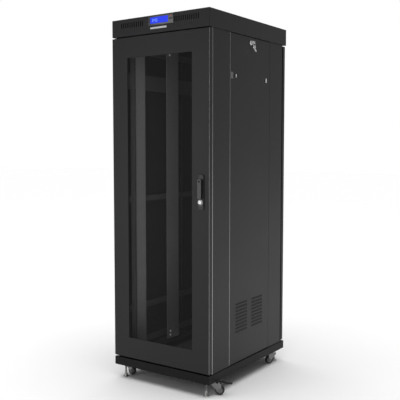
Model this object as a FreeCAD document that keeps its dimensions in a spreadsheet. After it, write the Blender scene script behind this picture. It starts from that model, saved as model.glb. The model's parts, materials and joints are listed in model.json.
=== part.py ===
import FreeCAD
import Part
import math
import os
import re
import Sketcher

# Floor-standing network cabinet, 37 rack units high, 600 wide and 800 deep. Millimetres.
# +Z is up and the front door faces -Y. The origin is on the floor under the cabinet's middle.
# Distances named ..._at or ..._y are measured from the middle planes, levels from the floor.

SIZES = {
    # The whole cabinet.
    "width": 600, "depth": 800, "overall_height": 1890, "ground_gap": 71,
    "base_height": 43, "cover_height": 87, "metal": 2, "side_inset": 4, "frame_flange": 85,
    "entry_half": 150, "base_entry_front": 190, "base_entry_rear": 280,
    "roof_entry_front": 230, "roof_entry_rear": 300,
    # Corner posts: the wide strips that show beside the side panels.
    "post_front": 365, "post_rear": 362, "front_strip_end": 204, "rear_strip_start": 215,
    "post_flange": 40, "post_return": 22, "panel_seat": 22, "seat_lip": 12,
    # 19-inch mounting rails with square holes, three to a unit.
    "rail_front": 300, "rail_rear": 90, "rail_inner": 225.4, "rail_outer": 262,
    "front_rail_flange": 80, "rear_rail_flange": 115, "rail_return": 15,
    "hole_centre": 232.55, "square_hole": 9.5, "unit": 44.45, "hole_pitch": 15.875,
    "rail_units": 37, "rail_end": 4,
    # Depth braces and the screws that hold the rails to them.
    "brace_depth": 10, "brace_height": 30, "tall_brace_height": 80, "foot_brace": 163,
    "low_brace": 358, "middle_brace": 955, "latch_brace": 1587, "head_brace": 1752,
    "plate_lap": 10, "rail_screw": 4.5, "screw_pair": 11, "screw_head": 2.5, "front_screw_y": 260, "rear_screw_y": 5,
    # Earthing stud.
    "stud_radius": 3, "stud_length": 22, "stud_x": 180, "stud_y": 330,
    # Front door.
    "door_gap": 9, "door_top_gap": 7, "front_door_depth": 28, "window_half": 200,
    "window_low": 231, "window_high": 1692, "mesh_metal": 1.5, "mesh_lap": 12,
    "stiffener_width": 18, "stiffener_depth": 22, "stiffener_gap": 2, "stiffener_foot": 17,
    "stiffener_head": 16, "hinge_at": 287, "front_hinge_y": 385, "pin_radius": 4,
    "fit": 0.05, "collar_radius": 8, "collar_gap": 0.3, "pin_reach": 17,
    # Rear door.
    "rear_door_half": 296, "rear_door_in": 370, "rear_door_out": 394,
    "rear_hinge_at": 284, "rear_hinge_y": 382,
    # Swing handle and locks.
    "handle_at": 252, "dish_width": 36, "dish_low": 931, "dish_high": 1101, "dish_metal": 6,
    "spindle_level": 1075, "spindle_radius": 6, "door_lock_level": 968, "plug_radius": 9,
    "lever_width": 22, "lever_low": 985, "lever_back": 7.5, "lever_metal": 9, "lever_pin": 2,
    "small_plug": 8, "side_lock_y": 8, "side_lock_level": 1773, "rear_lock_at": 262,
    "dish_corner": 9, "spindle_half": 5, "spindle_rise": 4, "spindle_depth": 3.5,
    "spindle_gap": 0.3, "spindle_reach": 17, "spindle_clear": 2, "pin_drop": 5,
    "cam_metal": 3, "cam_half": 6, "cam_root": 7, "cam_gap": 6, "slot_half": 5.4,
    "slot_reach": 10, "lever_head": 3, "plug_proud": 4.5, "plug_reach": 12, "key_half": 1,
    "keyway_half": 1.1, "keyway_rise": 4, "keyway_reach": 4, "small_plug_proud": 3,
    "rear_plug_reach": 14, "rear_cam_rise": 28, "side_plug_reach": 10, "side_cam_rise": 22,
    "small_keyway_reach": 7, "cam_drop": 8,
    # Keys: round bows on a split ring.
    "bow_radius": 8, "bow_hole": 3, "bow_reach": 10, "bow_hole_reach": 13, "blade_rise": 3.5,
    "key_insert": 6, "ring_radius": 11, "ring_wire": 0.8, "key_length": 29, "spare_tilt": 40,
    # Side panels.
    "panel_metal": 1.5, "panel_depth": 18, "panel_gap": 1, "panel_low": 118,
    "panel_high": 1799, "louvre_length": 120, "louvre_height": 6, "louvre_pitch": 18, "louvres": 9,
    "louvre_low": 276, "side_louvre_front": 140, "side_louvre_rear": 27,
    "rear_louvre_left": 170, "rear_louvre_right": 50, "upper_louvres": 1460,
    # Slide latches of the side panels.
    "latch_level": 1591, "latch_travel": 8, "front_latch_y": 156, "rear_latch_y": 166,
    "latch_window": 20, "latch_window_rise": 12, "tongue_tail": 30, "tongue_rise": 14,
    "ridge_half": 5, "ridge_rise": 9, "ridge_proud": 0.5, "tongue_back": 6, "tongue_front": 2,
    "tongue_clear": 1,
    # Roof, fans and the control unit.
    "fan_size": 120, "fan_depth": 38, "fan_bore": 57, "fan_spacing": 95, "fan_shift": 20,
    "fan_hub": 21, "strut_half": 4, "strut_metal": 4, "motor_height": 6, "shaft_radius": 2,
    "shaft_height": 30, "hub_low": 8, "hub_high": 33, "blades": 7, "blade_width": 28,
    "blade_metal": 2, "blade_pitch": 35, "blade_root": 3, "blade_lead": 12,
    "guard_wires": 4, "guard_pitch": 12, "guard_half": 1, "guard_bar_metal": 1.5,
    "guard_ring_metal": 2.5, "guard_lap": 2, "tray_drop": 45,
    "tray_half": 230, "tray_front": 250, "tray_rear": 210,
    "vent_width": 5, "vents": 12, "vent_pitch": 12.4, "vent_low": 1821, "vent_high": 1870,
    "left_vents": -239, "right_vents": 98, "control_left": -62, "control_right": 92,
    "control_low": 1840, "control_high": 1886, "bezel_lap": 4, "tub_depth": 30,
    "bezel_metal": 2, "screen_proud": 1.2, "screen_back": 1, "button_proud": 3.5,
    "button_inside": 6, "button_bore": 10,
    "screen_left": 50, "screen_right": 60, "screen_low": 1848, "screen_high": 1879,
    "button_radius": 3, "first_button": 68, "button_pitch": 8, "button_level": 1863,
    # Castors and levelling feet.
    "castor_x": 276, "castor_y": 314, "trail": 28, "wheel_radius": 25, "wheel_lift": 0.6,
    "wheel_width": 17, "axle_radius": 3, "axle_head": 5, "axle_head_height": 3, "axle_proud": 1,
    "mount_plate": 20, "mount_metal": 3, "race_radius": 13, "race_drop": 11, "kingpin_drop": 17,
    "kingpin_head": 8, "kingpin_head_low": 18, "kingpin_head_high": 15.5, "crown_drop": 15,
    "crown_back": 15, "crown_front": 12, "cheek_gap": 1.5, "cheek_metal": 2, "cheek_rise": 18,
    "cheek_drop": 6, "cheek_half": 7, "cheek_lip": 5, "lug_start": 24, "lug_end": 32,
    "lug_rise": 7, "pedal_x": 28, "pedal_lift": 4, "pedal_pin": 2, "pedal_half": 9, "kingpin": 5, "foot_x": 258, "foot_y": 360,
    "foot_radius": 14.5, "foot_stud": 5, "bell_height": 28,
    "foot_stud_top": 34,
    "nut_across": 17, "nut_height": 8,
}

Vector = FreeCAD.Vector
doc = FreeCAD.newDocument("network_cabinet")
sheet = doc.addObject("Spreadsheet::Sheet", "Sizes")
for row, (alias, number) in enumerate(SIZES.items(), start=1):
    sheet.set("A%d" % row, alias)
    sheet.set("B%d" % row, str(number))
    sheet.setAlias("B%d" % row, alias)
doc.recompute()

RIGHT, LEFT = 1, -1
BASE_TOP = "(ground_gap + base_height)"
COVER_LOW = "(overall_height - cover_height)"
FACE = "(width / 2 - side_inset)"
FRONT = "(-depth / 2)"
sub_parts = []


def bound(text):
    """Turn size names in an expression into references to the sheet."""
    def refer(match):
        word = match.group()
        return "Sizes." + word if word in SIZES else word
    return re.sub(r"[a-z_]+", refer, str(text))


def size(text):
    """Work out an expression of size names in this script, for shapes made by formula."""
    return float(sheet.evalExpression(bound(text)))


def plus(*terms):
    """Join terms into one sum in brackets."""
    return "(" + " + ".join("(%s)" % term for term in terms) + ")"


def handed(side, low, high):
    """A span measured outwards from the middle plane, on the right or the left."""
    return (low, high) if side == RIGHT else ("-(%s)" % high, "-(%s)" % low)


def both(half):
    """A span centred on the middle plane."""
    return ("-(%s)" % half, half)


def around(centre, half):
    """A span centred on a place."""
    return ("(%s) - (%s)" % (centre, half), "(%s) + (%s)" % (centre, half))


def block(name, x, y, z):
    """A box bound to the sheet, from three (low, high) spans."""
    piece = doc.addObject("Part::Box", name)
    for edge, axis, (low, high) in zip(("Length", "Width", "Height"), "xyz", (x, y, z)):
        piece.setExpression(edge, bound("(%s) - (%s)" % (high, low)))
        piece.setExpression("Placement.Base." + axis, bound(low))
    return piece


def rod(name, radius, x, y, z):
    """A cylinder bound to the sheet: two places across it and one (low, high) span along it."""
    piece = doc.addObject("Part::Cylinder", name)
    piece.setExpression("Radius", bound(radius))
    turns = {"x": (Vector(0, 1, 0), 90), "y": (Vector(1, 0, 0), -90), "z": (Vector(0, 0, 1), 0)}
    for axis, place in zip("xyz", (x, y, z)):
        if isinstance(place, tuple):
            piece.Placement = FreeCAD.Placement(Vector(), FreeCAD.Rotation(*turns[axis]))
    for axis, place in zip("xyz", (x, y, z)):
        if isinstance(place, tuple):
            piece.setExpression("Height", bound("(%s) - (%s)" % (place[1], place[0])))
            place = place[0]
        piece.setExpression("Placement.Base." + axis, bound(place))
    return piece


def joined(name, pieces):
    """Pieces welded or moulded into one."""
    piece = doc.addObject("Part::MultiFuse", name)
    piece.Shapes = pieces
    piece.Refine = True
    return piece


def group(name, pieces):
    """Separate solids that share one node."""
    piece = doc.addObject("Part::Compound", name)
    piece.Links = pieces
    return piece


def less(name, piece, cutters):
    """A piece with holes cut in it."""
    result = doc.addObject("Part::Cut", name)
    result.Base = piece
    result.Tool = cutters[0] if len(cutters) == 1 else group(name + "Cutters", cutters)
    result.Refine = True
    return result


def sub_part(piece, label):
    """Name a finished sub-part."""
    piece.Label = label
    sub_parts.append(piece)
    return piece


def sketch(body, name, role, outlines, offset="0"):
    """A sketch of closed straight-sided outlines on one of the body's own origin planes."""
    drawing = body.newObject("Sketcher::SketchObject", name)
    plane = [item for item in body.Origin.OriginFeatures if item.Role == role][0]
    drawing.AttachmentSupport = [(plane, "")]
    drawing.MapMode = "FlatFace"
    drawing.setExpression("AttachmentOffset.Base.z", bound(offset))
    for corners in outlines:
        first = drawing.GeometryCount
        values = [(size(across), size(along)) for across, along in corners]
        ends = values[1:] + values[:1]
        for start, end in zip(values, ends):
            drawing.addGeometry(Part.LineSegment(Vector(*start, 0), Vector(*end, 0)), False)
        for index in range(len(corners)):
            after = first + (index + 1) % len(corners)
            drawing.addConstraint(Sketcher.Constraint("Coincident", first + index, 2, after, 1))
        for index, (across, along) in enumerate(corners):
            for kind, text in (("DistanceX", across), ("DistanceY", along)):
                fixed = Sketcher.Constraint(kind, -1, 1, first + index, 1, size(text))
                number = drawing.addConstraint(fixed)
                drawing.setExpression("Constraints[%d]" % number, bound(text))
    return drawing


def oblong(x, y):
    """The four corners of a rectangle from two spans."""
    return [(x[0], y[0]), (x[1], y[0]), (x[1], y[1]), (x[0], y[1])]


def pad(body, name, profile, length):
    """Extrude a sketch."""
    feature = body.newObject("PartDesign::Pad", name)
    feature.Profile = profile
    feature.setExpression("Length", bound(length))
    return feature


def pocket_through(body, name, profile):
    """Cut a sketch right through, both ways, and check that it removed something."""
    before = body.Tip.Shape.Volume
    feature = body.newObject("PartDesign::Pocket", name)
    feature.Profile = profile
    feature.Type = 1
    feature.Midplane = True
    doc.recompute()
    if feature.Shape.Volume >= before:
        raise RuntimeError(name + " cut nothing")
    return feature


def repeated(body, name, feature, role, pitch, count):
    """Repeat a feature along one of the body's axes."""
    pattern = body.newObject("PartDesign::LinearPattern", name)
    pattern.Originals = [feature]
    axis = [item for item in body.Origin.OriginFeatures if item.Role == role][0]
    pattern.Direction = (axis, [""])
    pattern.setExpression("Length", bound("(%s) * (%s - 1)" % (pitch, count)))
    pattern.setExpression("Occurrences", bound(count))
    body.Tip = pattern
    return pattern


def turned(name, outline):
    """A body turned about Z from half its section."""
    body = doc.addObject("PartDesign::Body", name)
    profile = sketch(body, name + "Section", "XZ_Plane", [outline])
    feature = body.newObject("PartDesign::Revolution", name + "Turn")
    feature.Profile = profile
    feature.ReferenceAxis = (profile, ["V_Axis"])
    feature.Angle = 360
    doc.recompute()
    return body


def placed(piece, x, y, angle=0):
    """Stand a finished sub-part, modelled about its own axis, at its place on the floor plan."""
    piece.Placement = FreeCAD.Placement(
        Vector(size(x), size(y), 0), FreeCAD.Rotation(Vector(0, 0, 1), angle))
    piece.setExpression("Placement.Base.x", bound(x))
    piece.setExpression("Placement.Base.y", bound(y))
    return piece


# Frame ---------------------------------------------------------------------------------

def channel_ring(name, outer, y_outer, low, high, holes=()):
    """A welded ring of inward-facing channels, as at the base and the top."""
    body = block(name + "Body", both(outer), both(y_outer), (low, high))
    inner, y_inner = outer + " - metal", y_outer + " - metal"
    hollow = block(name + "Hollow", both(inner), both(y_inner), (low + " + metal", high + " - metal"))
    window = block(name + "Window", both("width / 2 - frame_flange"),
                   both("depth / 2 - frame_flange"), (low + " - 1", high + " + 1"))
    return less(name, body, [hollow, window] + list(holes))


def base():
    """The base ring that carries the posts, and the plate with the cable entry."""
    low = "ground_gap"
    holes = []
    for side in (RIGHT, LEFT):
        for end in (RIGHT, LEFT):
            holes.append(rod("FootHole", "foot_stud + fit", "%d * foot_x" % side,
                             "%d * foot_y" % end, (low + " - 1", low + " + metal + 1")))
    ring = channel_ring("BaseRing", "width / 2", "depth / 2", low, BASE_TOP, holes)
    sub_part(ring, "base_frame")
    plate = block("BasePlate", both("width / 2 - frame_flange + plate_lap"),
                  both("depth / 2 - frame_flange + plate_lap"), (low + " + metal", low + " + 2 * metal"))
    entry = block("BaseEntry", both("entry_half"), ("base_entry_front", "base_entry_rear"),
                  (low, low + " + 3 * metal"))
    sub_part(less("BasePlateCut", plate, [entry]), "base_plate")


def posts(name, label, end, reach, strip_end):
    """A pair of corner posts: a wide side strip, a front flange and a seat for the panel."""
    inner = "(%s - post_flange)" % FACE
    seat = "(%s - panel_seat)" % FACE
    pair = []
    for side in (RIGHT, LEFT):
        local = [
            (inner, reach + " - post_return"), (inner, reach), (FACE, reach), (FACE, strip_end),
            (seat + " + metal", strip_end), (seat + " + metal", strip_end + " - seat_lip"),
            (seat, strip_end + " - seat_lip"), (seat, strip_end + " + metal"),
            (FACE + " - metal", strip_end + " + metal"), (FACE + " - metal", reach + " - metal"),
            (inner + " + metal", reach + " - metal"), (inner + " + metal", reach + " - post_return"),
        ]
        outline = [("%d * (%s)" % (side, x), "%d * (%s)" % (end, y)) for x, y in local]
        body = doc.addObject("PartDesign::Body", name)
        section = sketch(body, name + "Section", "XY_Plane", [outline], BASE_TOP)
        pad(body, name + "Pad", section, COVER_LOW + " - " + BASE_TOP)
        pair.append(body)
    sub_part(group(name + "Pair", pair), label)


def rails(name, label, end, face, flange):
    """A pair of 19-inch rails, each a folded strip with three square holes to every unit."""
    middle = "((%s + %s) / 2)" % (BASE_TOP, COVER_LOW)
    first_unit = "(%s - rail_units * unit / 2)" % middle
    pair = []
    for side in (RIGHT, LEFT):
        local = [
            ("rail_inner", face), ("rail_outer", face), ("rail_outer", face + " - rail_return"),
            ("rail_outer - metal", face + " - rail_return"),
            ("rail_outer - metal", face + " - metal"), ("rail_inner + metal", face + " - metal"),
            ("rail_inner + metal", "%s - %s" % (face, flange)),
            ("rail_inner", "%s - %s" % (face, flange)),
        ]
        outline = [("%d * (%s)" % (side, x), "%d * (%s)" % (end, y)) for x, y in local]
        body = doc.addObject("PartDesign::Body", name)
        section = sketch(body, name + "Section", "XY_Plane", [outline], first_unit + " - rail_end")
        pad(body, name + "Pad", section, "rail_units * unit + 2 * rail_end")
        across = handed(side, *around("hole_centre", "square_hole / 2"))
        squares = []
        for step in (-1, 0, 1):
            level = "%s + unit / 2 + %d * hole_pitch" % (first_unit, step)
            squares.append(oblong(across, around(level, "square_hole / 2")))
        holes = sketch(body, name + "Squares", "XZ_Plane", squares)
        doc.recompute()
        cut = pocket_through(body, name + "Pocket", holes)
        repeated(body, name + "Holes", cut, "Z_Axis", "unit", "rail_units")
        pair.append(body)
    sub_part(group(name + "Pair", pair), label)


def braces():
    """Horizontal channels from the front posts to the rear posts, which carry the rails."""
    levels = {"foot_brace": "brace_height", "low_brace": "brace_height",
              "middle_brace": "brace_height", "latch_brace": "tall_brace_height",
              "head_brace": "brace_height"}
    every = []
    for side in (RIGHT, LEFT):
        for level, tall in levels.items():
            z = around(level, tall + " / 2")
            y = ("-(post_front - metal)", "post_rear - metal")
            outer = block("Brace", handed(side, "rail_outer", "rail_outer + brace_depth"), y, z)
            inside = handed(side, "rail_outer + metal", "rail_outer + brace_depth + 1")
            hollow = block("BraceHollow", inside, (y[0] + " - 1", y[1] + " + 1"),
                           (z[0] + " + metal", z[1] + " - metal"))
            every.append(less("BraceChannel", outer, [hollow]))
    sub_part(group("Braces", every), "depth_braces")


# Roof ----------------------------------------------------------------------------------

FAN_PLACES = [(RIGHT, RIGHT), (RIGHT, LEFT), (LEFT, RIGHT), (LEFT, LEFT)]
TRAY_LOW = "(overall_height - tray_drop)"
FAN_LOW = "(overall_height - tray_drop + metal)"


def fan_centre(place):
    """The middle of one fan on the plan."""
    return "%d * fan_spacing" % place[0], "%d * fan_spacing - fan_shift" % place[1]


def roof():
    """The top ring, the roof sheet with its fan openings and cable entry, and the skirts."""
    ring = channel_ring("TopRing", "(width / 2 - metal)", "(depth / 2 - metal)", COVER_LOW, TRAY_LOW)
    sub_part(ring, "top_frame")
    under = "overall_height - metal"
    top = block("RoofSheet", both("width / 2"), both("depth / 2"), (under, "overall_height"))
    through = (under + " - 1", "overall_height + 1")
    holes = [rod("RoofVent", "fan_bore", *fan_centre(place), through) for place in FAN_PLACES]
    holes.append(block("RoofEntry", both("entry_half"), ("roof_entry_front", "roof_entry_rear"), through))
    sub_part(less("RoofPanel", top, holes), "roof_panel")
    z = (COVER_LOW, under)
    skirts = [block("Skirt", handed(side, "width / 2 - metal", "width / 2"),
                    both("depth / 2 - metal"), z) for side in (RIGHT, LEFT)]
    skirts.append(block("RearSkirt", both("width / 2"), ("depth / 2 - metal", "depth / 2"), z))
    sub_part(group("Skirts", skirts), "roof_skirts")


def fascia():
    """The front of the cover: two rows of upright vents and a window for the control unit."""
    body = doc.addObject("PartDesign::Body", "Fascia")
    plate = sketch(body, "FasciaOutline", "XZ_Plane",
                   [oblong(both("width / 2"), (COVER_LOW, "overall_height - metal")),
                    oblong(("control_left + bezel_lap - 1", "control_right - bezel_lap + 1"),
                           ("control_low + bezel_lap - 1", "control_high - bezel_lap + 1"))], "depth / 2 - metal")
    pad(body, "FasciaPad", plate, "metal")
    doc.recompute()
    slots = [oblong((start, start + " + vent_width"), ("vent_low", "vent_high"))
             for start in ("left_vents", "right_vents")]
    vents = pocket_through(body, "FirstVents", sketch(body, "VentSlots", "XZ_Plane", slots))
    repeated(body, "Vents", vents, "X_Axis", "vent_pitch", "vents")
    sub_part(body, "front_fascia")


def fans():
    """Four fans on a tray under the roof sheet."""
    tray = block("FanTray", both("tray_half"), ("-tray_front", "tray_rear"), (TRAY_LOW, FAN_LOW))
    through = (TRAY_LOW + " - 1", FAN_LOW + " + 1")
    holes = [rod("TrayHole", "fan_bore", *fan_centre(place), through) for place in FAN_PLACES]
    sub_part(less("FanTrayCut", tray, holes), "fan_tray")
    housings, guards = [], []
    for number, place in enumerate(FAN_PLACES, start=1):
        x, y = fan_centre(place)
        top = FAN_LOW + " + fan_depth"
        half = "fan_size / 2"
        shell = block("FanFrame", around(x, half), around(y, half), (FAN_LOW, top))
        bore = rod("FanBore", "fan_bore", x, y, (FAN_LOW + " - 1", top + " + 1"))
        strut_level = (FAN_LOW, FAN_LOW + " + strut_metal")
        housings.append(joined("FanHousing", [
            less("FanShell", shell, [bore]),
            block("FanStrut", around(x, "fan_bore + 1"), around(y, "strut_half"), strut_level),
            block("FanStrut", around(x, "strut_half"), around(y, "fan_bore + 1"), strut_level),
            rod("MotorBase", "fan_hub", x, y, (FAN_LOW, FAN_LOW + " + motor_height")),
            rod("MotorShaft", "shaft_radius", x, y, (FAN_LOW, FAN_LOW + " + shaft_height")),
        ]))
        long, thin = "fan_bore + guard_lap", "guard_half"
        bar = (top, top + " + guard_bar_metal")
        wires = [block("GuardBar", around(x, long), around(y, thin), bar),
                 block("GuardBar", around(x, thin), around(y, long), bar)]
        for step in range(SIZES["guard_wires"]):
            ring = "fan_hub - guard_half + %d * guard_pitch" % step
            rim = rod("GuardRing", ring + " + guard_half", x, y, (top, top + " + guard_ring_metal"))
            hole = rod("GuardGap", ring + " - guard_half", x, y,
                       (top + " - 1", top + " + guard_ring_metal + 1"))
            wires.append(less("GuardWire", rim, [hole]))
        guards.append(joined("FanGuard", wires))
        rotor(number, x, y)
    sub_part(group("FanHousings", housings), "fan_housings")
    sub_part(group("FanGuards", guards), "fan_guards")


def rotor(number, x, y):
    """One impeller: a hub on the motor shaft and seven pitched blades."""
    hub = rod("Hub", "fan_hub", "0", "0", (FAN_LOW + " + hub_low", FAN_LOW + " + hub_high"))
    blades = [hub]
    pitch = FreeCAD.Placement(
        Vector(), FreeCAD.Rotation(Vector(1, 0, 0), SIZES["blade_pitch"]))
    root = Vector(size("fan_hub - blade_root"), size("-blade_lead"), size(FAN_LOW + " + blade_lead"))
    out = FreeCAD.Placement(root, FreeCAD.Rotation())
    for step in range(SIZES["blades"]):
        blade = block("Blade", ("0", "fan_bore - fan_hub"), ("0", "blade_width"), ("0", "blade_metal"))
        for axis in "xyz":
            blade.setExpression("Placement.Base." + axis, None)
        spun = FreeCAD.Placement(
            Vector(), FreeCAD.Rotation(Vector(0, 0, 1), step * 360 / SIZES["blades"]))
        blade.Placement = spun.multiply(out).multiply(pitch)
        blades.append(blade)
    shaft_hole = rod("HubBore", "shaft_radius + fit", "0", "0",
                     (FAN_LOW + " + hub_low - 1", FAN_LOW + " + shaft_height + 1"))
    wheel = less("Rotor%d" % number, joined("Impeller", blades), [shaft_hole])
    sub_part(placed(wheel, x, y), "fan_rotor_%d" % number)


def control_unit():
    """The temperature display in the fascia, with three push-buttons."""
    x, z = ("control_left", "control_right"), ("control_low", "control_high")
    flange = block("ControlBezel", x, (FRONT + " - bezel_metal", FRONT), z)
    inner_x = (x[0] + " + bezel_lap", x[1] + " - bezel_lap")
    inner_z = (TRAY_LOW + " + 1", z[1] + " - bezel_lap")
    tub = block("ControlTub", inner_x, (FRONT, FRONT + " + tub_depth"), inner_z)
    screen_x, screen_z = ("-screen_left", "screen_right"), ("screen_low", "screen_high")
    window = block("ScreenRecess", screen_x, (FRONT + " - bezel_metal - 1", FRONT + " + screen_back"), screen_z)
    cutters = [window]
    for number in range(3):
        place = "first_button + %d * button_pitch" % number
        cutters.append(rod("ButtonBore", "button_radius + fit", place,
                           (FRONT + " - bezel_metal - 1", FRONT + " + button_bore"), "button_level"))
        button = rod("Button%d" % (number + 1), "button_radius", place,
                     (FRONT + " - button_proud", FRONT + " + button_inside"), "button_level")
        sub_part(button, "control_button_%d" % (number + 1))
    sub_part(less("ControlUnit", joined("ControlBody", [flange, tub]), cutters), "control_unit")
    sub_part(block("Screen", screen_x, (FRONT + " - screen_proud", FRONT + " + screen_back"),
                   screen_z), "lcd_screen")


# Doors ---------------------------------------------------------------------------------

DOOR_LOW = "(%s + door_gap)" % BASE_TOP
DOOR_HIGH = "(%s - door_top_gap)" % COVER_LOW


def pan(name, half, skin_span, wall_span):
    """A folded door pan: one skin and four edge walls."""
    z = (DOOR_LOW, DOOR_HIGH)
    walls = [block(name + "Skin", both(half), skin_span, z)]
    for side in (RIGHT, LEFT):
        walls.append(block(name + "Wall", handed(side, half + " - metal", half), wall_span, z))
    walls.append(block(name + "Foot", both(half), wall_span, (z[0], z[0] + " + metal")))
    walls.append(block(name + "Head", both(half), wall_span, (z[1] + " - metal", z[1])))
    return joined(name, walls)


def hinge_bores(x, y):
    """Holes in the top and bottom walls of a door for its two hinge pins."""
    low = (DOOR_LOW + " - 1", DOOR_LOW + " + metal + 1")
    high = (DOOR_HIGH + " - metal - 1", DOOR_HIGH + " + 1")
    return [rod("PinBore", "pin_radius + fit", x, y, span) for span in (low, high)]


def front_door():
    """The perforated front door with its two stiffening channels."""
    skin = (FRONT, FRONT + " + metal")
    wall = (FRONT + " + metal", FRONT + " + front_door_depth")
    shell = pan("FrontPan", "width / 2", skin, wall)
    through = (skin[0] + " - 1", skin[1] + " + 1")
    cutters = hinge_bores("-hinge_at", "-front_hinge_y")
    cutters.append(block("DoorWindow", both("window_half"), through, ("window_low", "window_high")))
    cutters.append(rod("SpindleHole", "spindle_radius + spindle_clear", "handle_at", through, "spindle_level"))
    cutters.append(rod("LockHole", "plug_radius + 1", "handle_at", through, "door_lock_level"))
    sub_part(less("FrontDoor", shell, cutters), "front_door_panel")
    sub_part(block("Mesh", both("window_half + mesh_lap"), (skin[1], skin[1] + " + mesh_metal"),
                   ("window_low - mesh_lap", "window_high + mesh_lap")), "door_mesh")
    channels = []
    for side in (RIGHT, LEFT):
        start = "window_half + mesh_lap + stiffener_gap"
        z = (DOOR_LOW + " + stiffener_foot", DOOR_HIGH + " - stiffener_head")
        outer = block("Stiffener", handed(side, start, start + " + stiffener_width"),
                      (skin[1], skin[1] + " + stiffener_depth"), z)
        inside = handed(side, start + " + metal", start + " + stiffener_width - metal")
        hollow = block("StiffenerHollow", inside, (skin[1] + " - 1", skin[1] + " + stiffener_depth - metal"),
                       (z[0] + " - 1", z[1] + " + 1"))
        channels.append(less("StiffenerChannel", outer, [hollow]))
    sub_part(group("Stiffeners", channels), "door_stiffeners")


def swing_handle():
    """The dish, the spindle with its cam, the lever that lifts on a pin, and the lock plug."""
    body = doc.addObject("PartDesign::Body", "HandleDish")
    x = around("handle_at", "dish_width / 2")
    outline = sketch(body, "DishOutline", "XZ_Plane", [oblong(x, ("dish_low", "dish_high"))],
                     "depth / 2")
    plate = pad(body, "DishPad", outline, "dish_metal")
    doc.recompute()
    corners = [name for name, edge in edges_of(plate.Shape) if along_y(edge)]
    rounding = body.newObject("PartDesign::Fillet", "DishCorners")
    rounding.Base = (plate, corners)
    rounding.setExpression("Radius", bound("dish_corner"))
    doc.recompute()
    dish_front = FRONT + " - dish_metal"
    through = (dish_front + " - 1", FRONT + " + 1")
    bores = [rod("SpindleBore", "spindle_radius + fit", "handle_at", through, "spindle_level"),
             rod("LockBore", "plug_radius + fit", "handle_at", through, "door_lock_level")]
    sub_part(less("HandleDishCut", body, bores), "handle_dish")

    lever_rear = FRONT + " - lever_back"
    pin_y = lever_rear + " - pin_drop"
    head = block("SpindleHead", around("handle_at", "spindle_half"),
                 (pin_y + " - spindle_depth", dish_front + " - spindle_gap"),
                 around("spindle_level", "spindle_rise"))
    shaft = rod("SpindleShaft", "spindle_radius", "handle_at",
                (dish_front + " - spindle_gap - 0.2", FRONT + " + spindle_reach"), "spindle_level")
    cam = block("Cam", ("handle_at - cam_root", "width / 2 - cam_gap"),
                (FRONT + " + spindle_reach - cam_metal", FRONT + " + spindle_reach"),
                around("spindle_level", "cam_half"))
    pin = rod("LeverPin", "lever_pin", around("handle_at", "lever_width / 2 - 0.5"), pin_y,
              "spindle_level")
    sub_part(joined("Spindle", [head, shaft, cam, pin]), "handle_spindle")

    x = around("handle_at", "lever_width / 2")
    bar = block("LeverBar", x, (lever_rear + " - lever_metal", lever_rear),
                ("lever_low", "spindle_level + lever_head"))
    slot = block("LeverSlot", around("handle_at", "slot_half"),
                 (lever_rear + " - lever_metal - 1", lever_rear + " + 1"),
                 around("spindle_level", "slot_reach"))
    hole = rod("LeverBore", "lever_pin + fit", (x[0] + " - 1", x[1] + " + 1"), pin_y, "spindle_level")
    sub_part(less("Lever", bar, [slot, hole]), "handle_lever")

    plug = rod("DoorPlug", "plug_radius", "handle_at", (dish_front + " - plug_proud", FRONT + " + plug_reach"),
               "door_lock_level")
    keyway = block("DoorKeyway", around("handle_at", "key_half"),
                   (dish_front + " - plug_proud - 0.5", FRONT + " + keyway_reach"),
                   around("door_lock_level", "keyway_rise"))
    sub_part(less("DoorLockPlug", plug, [keyway]), "door_lock_plug")


def edges_of(shape):
    """The edges of a shape with the names that features refer to."""
    return [("Edge%d" % (index + 1), edge) for index, edge in enumerate(shape.Edges)]


def along_y(edge):
    """Whether an edge runs straight along Y."""
    direction = edge.tangentAt(edge.FirstParameter)
    return abs(abs(direction.y) - 1) < 1e-6


def rear_door():
    """The plain steel rear door with louvres and a cylinder lock."""
    skin = ("rear_door_out - metal", "rear_door_out")
    shell = pan("RearPan", "rear_door_half", skin, ("rear_door_in", skin[0]))
    cutters = hinge_bores("-rear_hinge_at", "rear_hinge_y")
    for column in ("-rear_louvre_left", "rear_louvre_right"):
        for low in ("louvre_low", "upper_louvres"):
            cutters += louvres("x", column, (skin[0] + " - 1", skin[1] + " + 1"), low)
    bore = (skin[0] + " - 1", skin[1] + " + 1")
    cutters.append(rod("RearPlugBore", "small_plug + fit", "rear_lock_at", bore, "door_lock_level"))
    sub_part(less("RearDoor", shell, cutters), "rear_door_panel")
    plug = rod("RearPlug", "small_plug", "rear_lock_at", (skin[0] + " - rear_plug_reach", skin[1] + " + small_plug_proud"),
               "door_lock_level")
    cam = block("RearCam", around("rear_lock_at", "cam_half"),
                (skin[0] + " - rear_plug_reach - metal", skin[0] + " - rear_plug_reach"),
                ("door_lock_level - cam_drop", "door_lock_level + rear_cam_rise"))
    keyway = block("RearKeyway", around("rear_lock_at", "key_half"),
                   (skin[0] + " - keyway_reach", skin[1] + " + small_plug_proud + 1"),
                   around("door_lock_level", "keyway_rise"))
    sub_part(less("RearLock", joined("RearLockBody", [plug, cam]), [keyway]), "rear_lock_plug")


def louvres(axis, start, depth_span, low):
    """One column of louvre slots, as cutters."""
    slots = []
    for step in range(SIZES["louvres"]):
        level = "%s + %d * louvre_pitch" % (low, step)
        along = (start, start + " + louvre_length")
        z = (level, level + " + louvre_height")
        spans = (along, depth_span, z) if axis == "x" else (depth_span, along, z)
        slots.append(block("Louvre", *spans))
    return slots


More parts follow.
